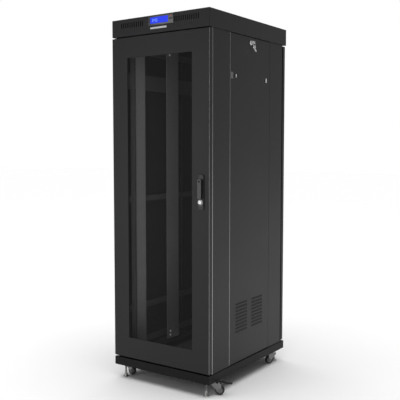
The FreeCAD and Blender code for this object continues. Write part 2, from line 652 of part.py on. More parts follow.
def hinge_pins():
    """A collared pin under and over each door."""
    pins = []
    for x, y in (("-hinge_at", "-front_hinge_y"), ("-rear_hinge_at", "rear_hinge_y")):
        for low, high, collar in (
                (BASE_TOP, DOOR_LOW + " + pin_reach", (BASE_TOP, DOOR_LOW + " - collar_gap")),
                (DOOR_HIGH + " - pin_reach", COVER_LOW, (DOOR_HIGH + " + collar_gap", COVER_LOW))):
            pins.append(joined("HingePin", [rod("Pin", "pin_radius", x, y, (low, high)),
                                            rod("Collar", "collar_radius", x, y, collar)]))
    sub_part(group("HingePins", pins), "hinge_pins")


# Side panels ---------------------------------------------------------------------------

def side_panel(side, word):
    """One lift-off side panel with louvres, two slide latches and a cylinder lock."""
    y = ("-(front_strip_end - panel_gap)", "rear_strip_start - panel_gap")
    z = ("panel_low", "panel_high")
    skin = handed(side, FACE + " - panel_metal", FACE)
    wall = handed(side, FACE + " - panel_depth", FACE + " - panel_metal")
    shell = joined("PanelPan", [
        block("PanelSkin", skin, y, z),
        block("PanelFront", wall, (y[0], y[0] + " + panel_metal"), z),
        block("PanelRear", wall, (y[1] + " - panel_metal", y[1]), z),
        block("PanelFoot", wall, y, (z[0], z[0] + " + panel_metal")),
        block("PanelHead", wall, y, (z[1] + " - panel_metal", z[1])),
    ])
    through = handed(side, FACE + " - panel_metal - 1", FACE + " + 1")
    cutters = []
    for column in ("-side_louvre_front", "side_louvre_rear"):
        cutters += louvres("y", column, through, "louvre_low")
    cutters.append(rod("SidePlugBore", "small_plug + fit", through, "side_lock_y", "side_lock_level"))
    for end, place in ((LEFT, "-front_latch_y"), (RIGHT, "rear_latch_y")):
        cutters.append(block("LatchWindow", through, around(place, "latch_window"),
                             around("latch_level", "latch_window_rise")))
        latch(side, word, end, place)
    sub_part(less("SidePanel", shell, cutters), "side_panel_" + word)
    side_lock(side, word)


def latch(side, word, end, place):
    """One slide latch: a tongue behind the skin with a thumb ridge in its window."""
    back = handed(side, FACE + " - tongue_back", FACE + " - tongue_front")
    strip = "front_strip_end" if end == LEFT else "rear_strip_start"
    reach = strip + " - panel_gap - panel_metal - tongue_clear"
    y = (place + " - tongue_tail", reach)
    if end == LEFT:
        y = ("-(%s)" % reach, place + " + tongue_tail")
    tongue = block("LatchTongue", back, y, around("latch_level", "tongue_rise"))
    ridge = block("LatchRidge", handed(side, FACE + " - tongue_front", FACE + " + ridge_proud"),
                  around(place, "ridge_half"), around("latch_level", "ridge_rise"))
    where = "front" if end == LEFT else "rear"
    sub_part(joined("Latch", [tongue, ridge]), "slide_latch_%s_%s" % (word, where))


def side_lock(side, word):
    """A plug with a cam behind the panel and a keyway in front."""
    place, level = "side_lock_y", "side_lock_level"
    plug = rod("SidePlug", "small_plug", handed(side, FACE + " - side_plug_reach", FACE + " + small_plug_proud"),
               place, level)
    back = handed(side, FACE + " - side_plug_reach - metal", FACE + " - side_plug_reach")
    cam = block("SideCam", back, around(place, "cam_half"),
                (level + " - cam_drop", level + " + side_cam_rise"))
    slot = handed(side, FACE + " - small_keyway_reach", FACE + " + small_plug_proud + 1")
    keyway = block("SideKeyway", slot, around(place, "keyway_half"), around(level, "keyway_rise"))
    sub_part(less("SideLock", joined("SideLockBody", [plug, cam]), [keyway]), "side_lock_" + word)


def key_shape(name, bow, hole, tip, across):
    """A flat key: a round bow with a ring hole, and a blade that ends at its tip."""
    y = around("side_lock_y", "key_half")
    disc = rod(name + "Bow", "bow_radius", bow[0], y, bow[1])
    blade = block(name + "Blade", tip, y, across)
    ring_hole = rod(name + "Hole", "bow_hole", hole[0], (y[0] + " - 1", y[1] + " + 1"), hole[1])
    return less(name, joined(name + "Blank", [disc, blade]), [ring_hole])


def keys():
    """The key in the right-hand lock, and a ring through its bow with the spare key on it."""
    level = "side_lock_level"
    bow = "width / 2 + bow_reach"
    hole = "width / 2 + bow_hole_reach"
    key = key_shape("Key", (bow, level), (hole, level), (FACE + " - key_insert", bow),
                    around(level, "blade_rise"))
    sub_part(key, "key")
    ring = doc.addObject("Part::Torus", "KeyRing")
    ring.setExpression("Radius1", bound("ring_radius"))
    ring.setExpression("Radius2", bound("ring_wire"))
    ring.Placement = FreeCAD.Placement(Vector(), FreeCAD.Rotation(Vector(0, 1, 0), 90))
    ring.setExpression("Placement.Base.x", bound(hole))
    ring.setExpression("Placement.Base.y", bound("side_lock_y"))
    ring.setExpression("Placement.Base.z", bound(level + " - ring_radius"))
    sub_part(ring, "key_ring")
    low = level + " - 2 * ring_radius"
    bow_low = low + " - (bow_hole_reach - bow_reach)"
    spare = key_shape("SpareKey", (hole, bow_low), (hole, low),
                      around(hole, "blade_rise"), (low + " - key_length", bow_low))
    spare.Placement = FreeCAD.Placement(
        Vector(), FreeCAD.Rotation(Vector(1, 0, 0), SIZES["spare_tilt"]),
        Vector(size(hole), size("side_lock_y"), size(low)))
    sub_part(spare, "spare_key")


# Castors and feet ----------------------------------------------------------------------

CASTORS = {"front_right": (RIGHT, LEFT, 15), "front_left": (LEFT, LEFT, -8),
           "rear_right": (RIGHT, RIGHT, 250), "rear_left": (LEFT, RIGHT, 165)}
BRAKED = ("front_right", "rear_left")
WHEEL_LEVEL = "(wheel_radius + wheel_lift)"


def castors():
    """Four swivel castors, two of them with a brake pedal."""
    mounts = []
    for word, (side, end, angle) in CASTORS.items():
        x, y = "%d * castor_x" % side, "%d * castor_y" % end
        top = "ground_gap"
        mounts.append(joined("CastorMount", [
            rod("MountPlate", "mount_plate", x, y, (top + " - mount_metal", top)),
            rod("SwivelRace", "race_radius", x, y, (top + " - race_drop", top + " - mount_metal")),
            rod("Kingpin", "kingpin", x, y, (top + " - kingpin_drop", top + " - mount_metal")),
            rod("KingpinHead", "kingpin_head", x, y,
                (top + " - kingpin_head_low", top + " - kingpin_head_high")),
        ]))
        sub_part(placed(fork(word), x, y, angle), "castor_fork_" + word)
        sub_part(placed(wheel(), x, y, angle), "castor_wheel_" + word)
        if word in BRAKED:
            sub_part(placed(pedal(), x, y, angle), "brake_pedal_" + word)
    sub_part(group("CastorMounts", mounts), "castor_mounts")


def fork(word):
    """A pressed fork about its swivel axis, trailing along X, with the axle bolt in it."""
    crown_z = ("ground_gap - crown_drop", "ground_gap - crown_drop + mount_metal")
    half = "(wheel_width / 2 + cheek_gap + cheek_metal)"
    back, front, axle_low = "-crown_back", "trail + crown_front", WHEEL_LEVEL + " - cheek_drop"
    crown = less("Crown", block("CrownPlate", (back, front), both(half), crown_z),
                 [rod("CrownBore", "kingpin + fit", "0", "0", (crown_z[0] + " - 1", crown_z[1] + " + 1"))])
    pieces = [crown]
    outline = [(back, crown_z[1]), (front, crown_z[1]), (front, WHEEL_LEVEL + " + cheek_rise"),
               ("trail + cheek_half", axle_low), ("trail - cheek_half", axle_low),
               (back, crown_z[0] + " - cheek_lip")]
    for edge in ("-(wheel_width / 2 + cheek_gap)", half):
        body = doc.addObject("PartDesign::Body", "Cheek")
        face = sketch(body, "CheekOutline", "XZ_Plane", [outline], edge)
        pad(body, "CheekPad", face, "cheek_metal").Reversed = True
        pieces.append(body)
        if word in BRAKED:
            lug = block("PedalLug", ("lug_start", "lug_end"),
                        ("-(%s)" % edge, "-(%s) + cheek_metal" % edge),
                        (crown_z[1], crown_z[1] + " + lug_rise"))
            pieces.append(lug)
    if word in BRAKED:
        pieces.append(rod("PedalPin", "pedal_pin", "pedal_x", both(half + " - 0.5"),
                          crown_z[1] + " + pedal_lift"))
    axle_bore = rod("CheekBore", "axle_radius", "trail", both("wheel_width"), WHEEL_LEVEL)
    shell = less("ForkShell", joined("ForkBlank", pieces), [axle_bore])
    axle = joined("AxleBolt", [rod("Axle", "axle_radius", "trail", both(half + " + axle_proud"), WHEEL_LEVEL),
                               rod("AxleHead", "axle_head", "trail",
                                   (half, half + " + axle_head_height"), WHEEL_LEVEL),
                               rod("AxleNut", "axle_head", "trail",
                                   handed(LEFT, half, half + " + axle_head_height"), WHEEL_LEVEL)])
    return group("Fork", [shell, axle])


def wheel():
    """A wheel with a dished hub, on its side about the axle."""
    half = "wheel_width / 2"
    outline = [("axle_radius + fit", "-(%s)" % half), ("6", "-(%s)" % half), ("7", "-(%s) + 2" % half),
               ("17", "-(%s) + 2" % half), ("18", "-(%s)" % half), ("wheel_radius - 2", "-(%s)" % half),
               ("wheel_radius", "-(%s) + 3" % half), ("wheel_radius", half + " - 3"),
               ("wheel_radius - 2", half), ("18", half), ("17", half + " - 2"), ("7", half + " - 2"),
               ("6", half), ("axle_radius + fit", half)]
    body = turned("Wheel", outline)
    body.Placement = FreeCAD.Placement(Vector(), FreeCAD.Rotation(Vector(1, 0, 0), -90))
    body.setExpression("Placement.Base.x", bound("trail"))
    body.setExpression("Placement.Base.z", bound(WHEEL_LEVEL))
    return group("WheelPlace", [body])


def pedal():
    """The brake pedal: a wavy pressed lever on a pin across the fork."""
    level = "(ground_gap - crown_drop + mount_metal + pedal_lift)"
    top = [("23", "3"), ("34", "3.5"), ("46", "5"), ("60", "1.5"), ("72", "1"), ("88", "4"), ("93", "2.5")]
    under = [("93", "0"), ("88", "0.5"), ("72", "-(3)"), ("60", "-(2.5)"), ("46", "1"), ("34", "-(1.5)"),
             ("23", "-(3)")]
    outline = [(x, plus(level, z)) for x, z in top + under]
    body = doc.addObject("PartDesign::Body", "Pedal")
    face = sketch(body, "PedalOutline", "XZ_Plane", [outline], "-pedal_half")
    pad(body, "PedalPad", face, "2 * pedal_half")
    doc.recompute()
    return less("PedalBored", body, [rod("PedalBore", "pedal_pin + fit", "pedal_x", both("pedal_half + 3"), level)])


def feet():
    """Four levelling feet: a bell on a stud that screws up through the base."""
    for word, (side, end, _) in CASTORS.items():
        outline = [("0", "0"), ("foot_radius", "0"), ("foot_radius", "3"), ("12", "7"),
                   ("9", "15"), ("7", "22"), ("6.5", "bell_height"), ("foot_stud", "bell_height"),
                   ("foot_stud", "ground_gap + foot_stud_top"), ("0", "ground_gap + foot_stud_top")]
        foot = turned("Foot", outline)
        place = ("%d * foot_x" % side, "%d * foot_y" % end)
        sub_part(placed(foot, *place), "levelling_foot_" + word)


# Fixings -------------------------------------------------------------------------------

def hexagon(name, across, bore, low, high):
    """A nut about Z: six sides and a clear bore."""
    body = doc.addObject("PartDesign::Body", name)
    radius = across / math.sqrt(3)
    corners = [(str(round(radius * math.cos(math.radians(60 * step)), 3)),
                str(round(radius * math.sin(math.radians(60 * step)), 3))) for step in range(6)]
    pad(body, name + "Pad", sketch(body, name + "Outline", "XY_Plane", [corners], low),
        "(%s) - (%s)" % (high, low))
    return less(name + "Bored", body, [rod(name + "Bore", bore, "0", "0", (low + " - 1", high + " + 1"))])


def fixings():
    """Foot nuts, rail screws and the earthing stud, as one group of loose solids."""
    every = []
    for _, (side, end, _) in CASTORS.items():
        nut = hexagon("FootNut", SIZES["nut_across"], "foot_stud + fit",
                      "ground_gap - nut_height", "ground_gap")
        every.append(placed(nut, "%d * foot_x" % side, "%d * foot_y" % end))
    for side in (RIGHT, LEFT):
        for level in ("foot_brace - screw_pair", "foot_brace + screw_pair", "head_brace"):
            for y in ("-front_screw_y", "rear_screw_y"):
                x = handed(side, "rail_inner - screw_head", "rail_inner")
                every.append(rod("RailScrew", "rail_screw", x, y, level))
    every.append(rod("EarthStud", "stud_radius", "-stud_x", "-stud_y",
                     (BASE_TOP, BASE_TOP + " + stud_length")))
    sub_part(group("Fixings", every), "screws_and_nuts")


# Build and write -----------------------------------------------------------------------

def build():
    """Make every sub-part."""
    base()
    posts("FrontPost", "front_posts", LEFT, "post_front", "front_strip_end")
    posts("RearPost", "rear_posts", RIGHT, "post_rear", "rear_strip_start")
    rails("FrontRail", "front_rails", LEFT, "rail_front", "front_rail_flange")
    rails("RearRail", "rear_rails", RIGHT, "rail_rear", "rear_rail_flange")
    braces()
    roof()
    fascia()
    fans()
    control_unit()
    front_door()
    swing_handle()
    rear_door()
    hinge_pins()
    side_panel(RIGHT, "right")
    side_panel(LEFT, "left")
    keys()
    castors()
    feet()
    fixings()


def write():
    """Check every object and write one file for each sub-part."""
    doc.recompute()
    for item in doc.Objects:
        if "Invalid" in item.State or "Error" in item.State:
            raise RuntimeError("%s (%s) did not build" % (item.Name, item.Label))
    os.makedirs("parts", exist_ok=True)
    for piece in sub_parts:
        shape = piece.Shape
        if shape.isNull() or not shape.isValid() or not shape.Solids:
            raise RuntimeError(piece.Label + " has no sound shape")
        shape.exportStep("parts/%s.step" % piece.Label)
        print("%-28s %3d solids %10.0f mm3" % (piece.Label, len(shape.Solids), shape.Volume))


build()
write()
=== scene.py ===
"""Looks of the floor-standing network cabinet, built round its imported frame. Metres, +Z up."""
import json
import logging
import math
from dataclasses import dataclass
from enum import Enum
from typing import Callable, Iterable, Sequence

import bmesh
import bpy
from mathutils import Euler, Matrix, Vector

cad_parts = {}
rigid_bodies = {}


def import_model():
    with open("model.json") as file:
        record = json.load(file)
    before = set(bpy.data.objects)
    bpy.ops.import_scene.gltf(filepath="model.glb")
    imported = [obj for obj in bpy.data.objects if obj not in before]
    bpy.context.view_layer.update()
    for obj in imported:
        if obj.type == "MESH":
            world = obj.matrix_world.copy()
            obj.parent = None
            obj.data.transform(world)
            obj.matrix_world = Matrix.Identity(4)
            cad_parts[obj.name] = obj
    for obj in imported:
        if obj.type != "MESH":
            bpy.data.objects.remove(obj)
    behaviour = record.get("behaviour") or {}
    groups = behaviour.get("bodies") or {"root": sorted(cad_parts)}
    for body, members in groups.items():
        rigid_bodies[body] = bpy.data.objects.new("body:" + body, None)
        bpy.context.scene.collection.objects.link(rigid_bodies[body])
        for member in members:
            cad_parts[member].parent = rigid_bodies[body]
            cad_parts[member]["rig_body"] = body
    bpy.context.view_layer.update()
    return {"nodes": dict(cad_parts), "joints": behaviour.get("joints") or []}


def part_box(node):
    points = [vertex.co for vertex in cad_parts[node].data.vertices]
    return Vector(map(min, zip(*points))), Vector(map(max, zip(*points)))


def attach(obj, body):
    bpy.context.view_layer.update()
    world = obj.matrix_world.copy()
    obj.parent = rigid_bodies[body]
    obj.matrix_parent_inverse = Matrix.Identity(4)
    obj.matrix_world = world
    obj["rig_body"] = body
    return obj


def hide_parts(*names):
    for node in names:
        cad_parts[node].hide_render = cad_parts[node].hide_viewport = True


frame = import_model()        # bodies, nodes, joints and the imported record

LOG = logging.getLogger("cabinet")
MM = 0.001
WELD = 0.02 * MM
HARD_EDGE = 32.0
CORNERS = ("front_right", "front_left", "rear_right", "rear_left")
Piece = bpy.types.Object
Colour = tuple[float, float, float]
Profile = list[tuple[float, float]]


class Side(Enum):
    """Which side of the middle plane a piece is on."""

    RIGHT = 1
    LEFT = -1


class Along(Enum):
    """The axis that a turned piece or a row of slots follows."""

    X = 0
    Y = 1
    Z = 2


# Shader groups


def placed(nodes: bpy.types.Nodes, kind: str, values: dict[str | int, object] | None = None,
           **settings: object) -> bpy.types.Node:
    """A new shader node with its settings and the values of its sockets.

    Args:
        nodes: The nodes that it is added to.
        kind: Its kind, without the word that every shader node's type starts with.
        values: What its unlinked sockets hold.
        settings: Its own settings, such as an operation.

    Returns:
        The new node.
    """
    node = nodes.new("ShaderNode" + kind)
    for name, setting in settings.items():
        setattr(node, name, setting)
    for socket, value in (values or {}).items():
        node.inputs[socket].default_value = value
    return node


class ShaderGroup:
    """A group of shader nodes that several finishes share, each with its own values."""

    NAME: str
    AMOUNTS: dict[str, float]
    RESULTS: tuple[str, ...]

    @classmethod
    def tree(cls) -> bpy.types.NodeTree:
        """The group, built once."""
        return bpy.data.node_groups.get(cls.NAME) or cls._build()

    @classmethod
    def _build(cls) -> bpy.types.NodeTree:
        """The group with its nodes, which each kind of group places in its own way."""
        raise NotImplementedError

    @classmethod
    def _empty(cls) -> tuple[bpy.types.NodeTree, bpy.types.Node, bpy.types.Node]:
        """A new group with its named sockets.

        Returns:
            The group, its input and its output.
        """
        tree = bpy.data.node_groups.new(cls.NAME, "ShaderNodeTree")
        for name, start in cls.AMOUNTS.items():
            socket = tree.interface.new_socket(name, in_out="INPUT", socket_type="NodeSocketFloat")
            socket.default_value = start
        tree.interface.new_socket("Position", in_out="INPUT", socket_type="NodeSocketVector")
        for name in cls.RESULTS:
            tree.interface.new_socket(name, in_out="OUTPUT", socket_type="NodeSocketFloat")
        return tree, tree.nodes.new("NodeGroupInput"), tree.nodes.new("NodeGroupOutput")


class GrainGroup(ShaderGroup):
    """Fine texture of a sprayed or moulded surface: a height and a slow change of tone."""

    NAME = "Fine Grain"
    AMOUNTS = {"Grain Scale": 900.0, "Patch Scale": 3.0}
    RESULTS = ("Height", "Tone")
    PIT_SHARE = 0.45

    @classmethod
    def _build(cls) -> bpy.types.NodeTree:
        """Noise and pits for the height, and large soft noise for the tone.

        Returns:
            The new group.
        """
        tree, inside, outside = cls._empty()
        nodes, link = tree.nodes, tree.links.new
        fine = placed(nodes, "TexNoise", {"Detail": 3.0})
        pits = placed(nodes, "TexVoronoi")
        patch = placed(nodes, "TexNoise", {"Detail": 5.0, "Roughness": 0.62})
        blend = placed(nodes, "Math", {1: cls.PIT_SHARE}, operation="MULTIPLY_ADD")
        for node, scale in ((fine, "Grain Scale"), (pits, "Grain Scale"), (patch, "Patch Scale")):
            link(inside.outputs["Position"], node.inputs["Vector"])
            link(inside.outputs[scale], node.inputs["Scale"])
        link(pits.outputs["Distance"], blend.inputs[0])
        link(fine.outputs["Fac"], blend.inputs[2])
        link(blend.outputs[0], outside.inputs["Height"])
        link(patch.outputs["Fac"], outside.inputs["Tone"])
        return tree


class DustGroup(ShaderGroup):
    """Pale dust on the faces that look up, broken up by noise."""

    NAME = "Settled Dust"
    AMOUNTS = {"Amount": 0.3}
    RESULTS = ("Mask",)
    LEAST_SLOPE = 0.2

    @classmethod
    def _build(cls) -> bpy.types.NodeTree:
        """A mask from the way that a face looks, times specks, times the amount.

        Returns:
            The new group.
        """
        tree, inside, outside = cls._empty()
        nodes, link = tree.nodes, tree.links.new
        surface = placed(nodes, "NewGeometry")
        parts = placed(nodes, "SeparateXYZ")
        upward = placed(nodes, "MapRange", {"From Min": cls.LEAST_SLOPE, "From Max": 1.0})
        specks = placed(nodes, "TexNoise", {"Scale": 14.0, "Detail": 6.0})
        broken = placed(nodes, "Math", operation="MULTIPLY")
        scaled = placed(nodes, "Math", operation="MULTIPLY")
        link(surface.outputs["Normal"], parts.inputs[0])
        link(parts.outputs["Z"], upward.inputs["Value"])
        link(inside.outputs["Position"], specks.inputs["Vector"])
        link(upward.outputs["Result"], broken.inputs[0])
        link(specks.outputs["Fac"], broken.inputs[1])
        link(broken.outputs[0], scaled.inputs[0])
        link(inside.outputs["Amount"], scaled.inputs[1])
        link(scaled.outputs[0], outside.inputs["Mask"])
        return tree


# Finishes


@dataclass(frozen=True)
class Finish:
    """A surface finish: a base colour that drifts, a grain, and how it shines."""

    name: str
    colour: Colour
    roughness: float = 0.5
    metallic: float = 0.0
    specular: float = 0.5
    grain_scale: float = 900.0
    grain_depth: float = 0.00006
    grain_strength: float = 0.35
    tone_spread: float = 0.12
    gloss_spread: float = 0.06
    stretch: tuple[float, float, float] = (1.0, 1.0, 1.0)
    dust: float = 0.0
    dust_colour: Colour = (0.23, 0.22, 0.21)
    coat: float = 0.0
    coat_roughness: float = 0.08
    glow: float = 0.0
    glow_colour: Colour = (0.0, 0.0, 0.0)

    def material(self) -> bpy.types.Material:
        """The finish as a material, built once."""
        return bpy.data.materials.get(self.name) or self._build()

    def _build(self) -> bpy.types.Material:
        """A shader whose colour, roughness and bump follow the grain.

        Returns:
            The material that carries this finish.
        """
        made = bpy.data.materials.new(self.name)
        made.use_nodes = True
        nodes, link = made.node_tree.nodes, made.node_tree.links.new
        shader = nodes["Principled BSDF"].inputs
        for socket, value in (("Metallic", self.metallic), ("Specular IOR Level", self.specular),
                              ("Coat Weight", self.coat), ("Coat Roughness", self.coat_roughness)):
            shader[socket].default_value = value
        place = placed(nodes, "TexCoord")
        stretch = placed(nodes, "Mapping", {"Scale": self.stretch})
        link(place.outputs["Object"], stretch.inputs["Vector"])
        grain = placed(nodes, "Group", {"Grain Scale": self.grain_scale},
                       node_tree=GrainGroup.tree())
        link(stretch.outputs["Vector"], grain.inputs["Position"])
        dark = (*(part * (1.0 - self.tone_spread) for part in self.colour), 1.0)
        light = (*(min(1.0, part * (1.0 + self.tone_spread)) for part in self.colour), 1.0)
        drift = placed(nodes, "Mix", {"A": dark, "B": light}, data_type="RGBA")
        link(grain.outputs["Tone"], drift.inputs["Factor"])
        if self.dust:
            dust = placed(nodes, "Group", {"Amount": self.dust}, node_tree=DustGroup.tree())
            link(place.outputs["Object"], dust.inputs["Position"])
            settled = placed(nodes, "Mix", {"B": (*self.dust_colour, 1.0)}, data_type="RGBA")
            link(dust.outputs["Mask"], settled.inputs["Factor"])
            link(drift.outputs["Result"], settled.inputs["A"])
            drift = settled
        link(drift.outputs["Result"], shader["Base Color"])
        gloss = placed(nodes, "MapRange", {"To Min": self.roughness - self.gloss_spread,
                                           "To Max": self.roughness + self.gloss_spread})
        link(grain.outputs["Tone"], gloss.inputs["Value"])
        link(gloss.outputs["Result"], shader["Roughness"])
        bump = placed(nodes, "Bump", {"Strength": self.grain_strength,
                                      "Distance": self.grain_depth})
        link(grain.outputs["Height"], bump.inputs["Height"])
        link(bump.outputs["Normal"], shader["Normal"])
        if self.glow:
            shader["Emission Color"].default_value = (*self.glow_colour, 1.0)
            shader["Emission Strength"].default_value = self.glow
        return made


POWDER_COAT = Finish("powder_coat", (0.0115, 0.0115, 0.013), roughness=0.42, specular=0.25,
                     dust=0.12)
# Pale metallic stripe: a painted highlight on the upright front corners of the outer sheets.
EDGE_HIGHLIGHT_COAT = Finish("edge_painted_highlight", (0.4, 0.4, 0.41), roughness=0.26, metallic=0.8,
                   grain_strength=0.08)
# A dimmer copy of the powder coat: painted shade on the base frame, which sits low in shadow.
BASE_SHADE_COAT = Finish("base_painted_shade", (0.004, 0.004, 0.0045), roughness=0.5, specular=0.17, dust=0.1)
FRAME_COAT = Finish("frame_coat", (0.03, 0.03, 0.032), roughness=0.5, specular=0.4, dust=0.1)
# A lighter copy of the frame paint: painted light on the rails seen through the door's mesh.
RAIL_LIT_COAT = Finish("rail_painted_light", (0.085, 0.085, 0.088), roughness=0.4, specular=0.5, dust=0.1)
MESH_COAT = Finish("mesh_coat", (0.008, 0.008, 0.009), roughness=0.5, specular=0.3,
                   grain_scale=1500.0)
MOULDED_BLACK = Finish("moulded_black", (0.012, 0.012, 0.013), roughness=0.42,
                       grain_scale=1600.0, grain_strength=0.5, tone_spread=0.08)
LEVER_BLACK = Finish("lever_black", (0.01, 0.01, 0.011), roughness=0.3, grain_scale=2200.0,
                     grain_strength=0.15)
GLOSS_BLACK = Finish("gloss_black", (0.006, 0.006, 0.007), roughness=0.16, coat=0.4,
                     grain_strength=0.05)
CHROME = Finish("chrome_plate", (0.66, 0.66, 0.67), roughness=0.15, metallic=1.0,
                grain_strength=0.05, tone_spread=0.03, gloss_spread=0.03)
LOCK_STEEL = Finish("lock_steel", (0.5, 0.5, 0.51), roughness=0.3, metallic=1.0,
                    grain_strength=0.05, tone_spread=0.05, gloss_spread=0.04)
TAB_GREY = Finish("tab_grey", (0.1, 0.1, 0.103), roughness=0.4, grain_scale=1600.0)
SCREW_PLATE = Finish("screw_plate", (0.95, 0.95, 0.94), roughness=0.4, metallic=0.1,
                     grain_strength=0.1)
# A dimmer copy of the zinc plate: painted shade on the castor forks under the cabinet.
FORK_ZINC_SHADED = Finish("fork_zinc_painted_shade", (0.2, 0.2, 0.2), roughness=0.36, metallic=1.0,
                    grain_scale=700.0, grain_strength=0.3, tone_spread=0.2, gloss_spread=0.1)
ZINC = Finish("zinc_plate", (0.42, 0.42, 0.41), roughness=0.3, metallic=1.0, grain_scale=700.0,
              grain_strength=0.25, tone_spread=0.14, gloss_spread=0.1)
# Pale nickel plating, made near-white to paint in the glint of the keys and latch grips.
NICKEL_GLINT = Finish("nickel_painted_glint", (0.95, 0.94, 0.92), roughness=0.4, metallic=0.35,
                stretch=(1.0, 1.0, 0.2), grain_strength=0.2, tone_spread=0.1)
WIRE = Finish("guard_wire", (0.5, 0.5, 0.5), roughness=0.28, metallic=1.0, grain_strength=0.1)
TYRE = Finish("tyre_rubber", (0.012, 0.012, 0.012), roughness=0.62, grain_scale=500.0,
              grain_strength=0.6, dust=0.3, tone_spread=0.2)
HUB_GREY = Finish("hub_grey", (0.22, 0.22, 0.23), roughness=0.4, grain_scale=1200.0,
                  grain_strength=0.3)
SCREEN_BLUE = Finish("screen_blue", (0.004, 0.01, 0.12), roughness=0.3, specular=0.2,
                     grain_strength=0.02, glow=0.78, glow_colour=(0.018, 0.05, 0.95))
DIGIT_LIGHT = Finish("digit_light", (0.2, 0.3, 0.6), roughness=0.3, specular=0.2,
                     grain_strength=0.02, glow=0.6, glow_colour=(0.2, 0.42, 1.0))
LAMP_RED = Finish("lamp_red", (0.4, 0.02, 0.02), roughness=0.2, grain_strength=0.02, glow=0.8,
                  glow_colour=(0.9, 0.05, 0.04))
BADGE_PALE = Finish("badge_pale", (0.5, 0.5, 0.51), roughness=0.35, metallic=0.2,
                    stretch=(0.1, 1.0, 1.0), grain_strength=0.2)
FLOOR_PALE = Finish("floor_pale", (0.9, 0.9, 0.9), roughness=0.7, specular=0.2,
                    grain_scale=60.0, grain_strength=0.02, tone_spread=0.01)


# Modelling steps


def deselect() -> None:
    """Leave nothing selected and no edit mode open."""
    if bpy.context.object and bpy.context.object.mode != "OBJECT":
        bpy.ops.object.mode_set(mode="OBJECT")
    bpy.ops.object.select_all(action="DESELECT")


def pick(piece: Piece) -> None:
    """Make one object the only selected and the active one.

    Args:
        piece: The object to pick.
    """
    deselect()
    piece.select_set(True)
    bpy.context.view_layer.objects.active = piece


def open_mesh(action: str = "SELECT") -> None:
    """Open the active object's mesh, selected all over or, with DESELECT, nowhere."""
    bpy.ops.object.mode_set(mode="EDIT")
    bpy.ops.mesh.select_all(action=action)


def face_outwards() -> None:
    """Turn every face of the open mesh outwards."""
    bpy.ops.mesh.select_all(action="SELECT")
    bpy.ops.mesh.normals_make_consistent(inside=False)


def close_mesh() -> None:
    """Leave edit mode."""
    bpy.ops.object.mode_set(mode="OBJECT")


def settle(piece: Piece) -> Piece:
    """Put an object's place, turn and scale into its mesh.

    Args:
        piece: The object to settle.

    Returns:
        The same object, at the origin.
    """
    pick(piece)
    bpy.ops.object.transform_apply(location=True, rotation=True, scale=True)
    return piece


def apply_all(piece: Piece) -> Piece:
    """Apply every modifier of an object.

    Args:
        piece: The object with modifiers.

    Returns:
        The same object, with none left.
    """
    pick(piece)
    for modifier in list(piece.modifiers):
        bpy.ops.object.modifier_apply(modifier=modifier.name)
    return piece


def smooth(piece: Piece) -> Piece:
    """Shade an object smooth, with its sharp edges kept hard.

    Args:
        piece: The object to shade.

    Returns:
        The same object.
    """
    pick(piece)
    bpy.ops.object.shade_smooth_by_angle(angle=math.radians(HARD_EDGE))
    return piece


def evened(piece: Piece) -> Piece:
    """Shade a rounded piece so that its large faces stay flat and only its roundings turn.

    Args:
        piece: The rounded object.

    Returns:
        The same object.
    """
    smooth(piece)
    even = piece.modifiers.new("Even shading", "WEIGHTED_NORMAL")
    even.mode, even.weight, even.keep_sharp = "FACE_AREA", 100, True
    return apply_all(piece)


def rounded(piece: Piece, width: float, segments: int = 2, angle: float = 40.0) -> Piece:
    """Round the sharp edges of an object, and shade it.

    Args:
        piece: The object to round.
        width: The rounding's radius.
        segments: How many facets a rounding has.
        angle: The angle, in degrees, past which an edge is rounded.

    Returns:
        The same object.
    """
    modifier = piece.modifiers.new("Rounding", "BEVEL")
    modifier.width, modifier.segments = width, segments
    modifier.limit_method, modifier.angle_limit = "ANGLE", math.radians(angle)
    return evened(apply_all(piece))


def weighted_bevel(piece: Piece, share: Callable[[bmesh.types.BMEdge], float], width: float,
                   segments: int) -> Piece:
    """Round each edge of an object by its own share of a radius.

    Args:
        piece: The object to round.
        share: Gives an edge's share of the radius, from 0 to 1.
        width: The whole radius.
        segments: How many facets a rounding has.

    Returns:
        The same object.
    """
    shape = bmesh.new()
    shape.from_mesh(piece.data)
    layer = shape.edges.layers.float.new("bevel_weight_edge")
    for edge in shape.edges:
        edge[layer] = share(edge)
    shape.to_mesh(piece.data)
    shape.free()
    modifier = piece.modifiers.new("Rounding", "BEVEL")
    modifier.width, modifier.segments, modifier.limit_method = width, segments, "WEIGHT"
    return apply_all(piece)


def cuboid(name: str, low: Sequence[float], high: Sequence[float]) -> Piece:
    """A box between two corners, as the start of a piece.

    Args:
        name: The box's name.
        low: Its lowest corner.
        high: Its highest corner.

    Returns:
        The box.
    """
    deselect()
    centre = [(a + b) / 2 for a, b in zip(low, high)]
    extent = [b - a for a, b in zip(low, high)]
    bpy.ops.mesh.primitive_cube_add(size=1.0, location=centre, scale=extent)
    piece = bpy.context.object
    piece.name = name
    return settle(piece)


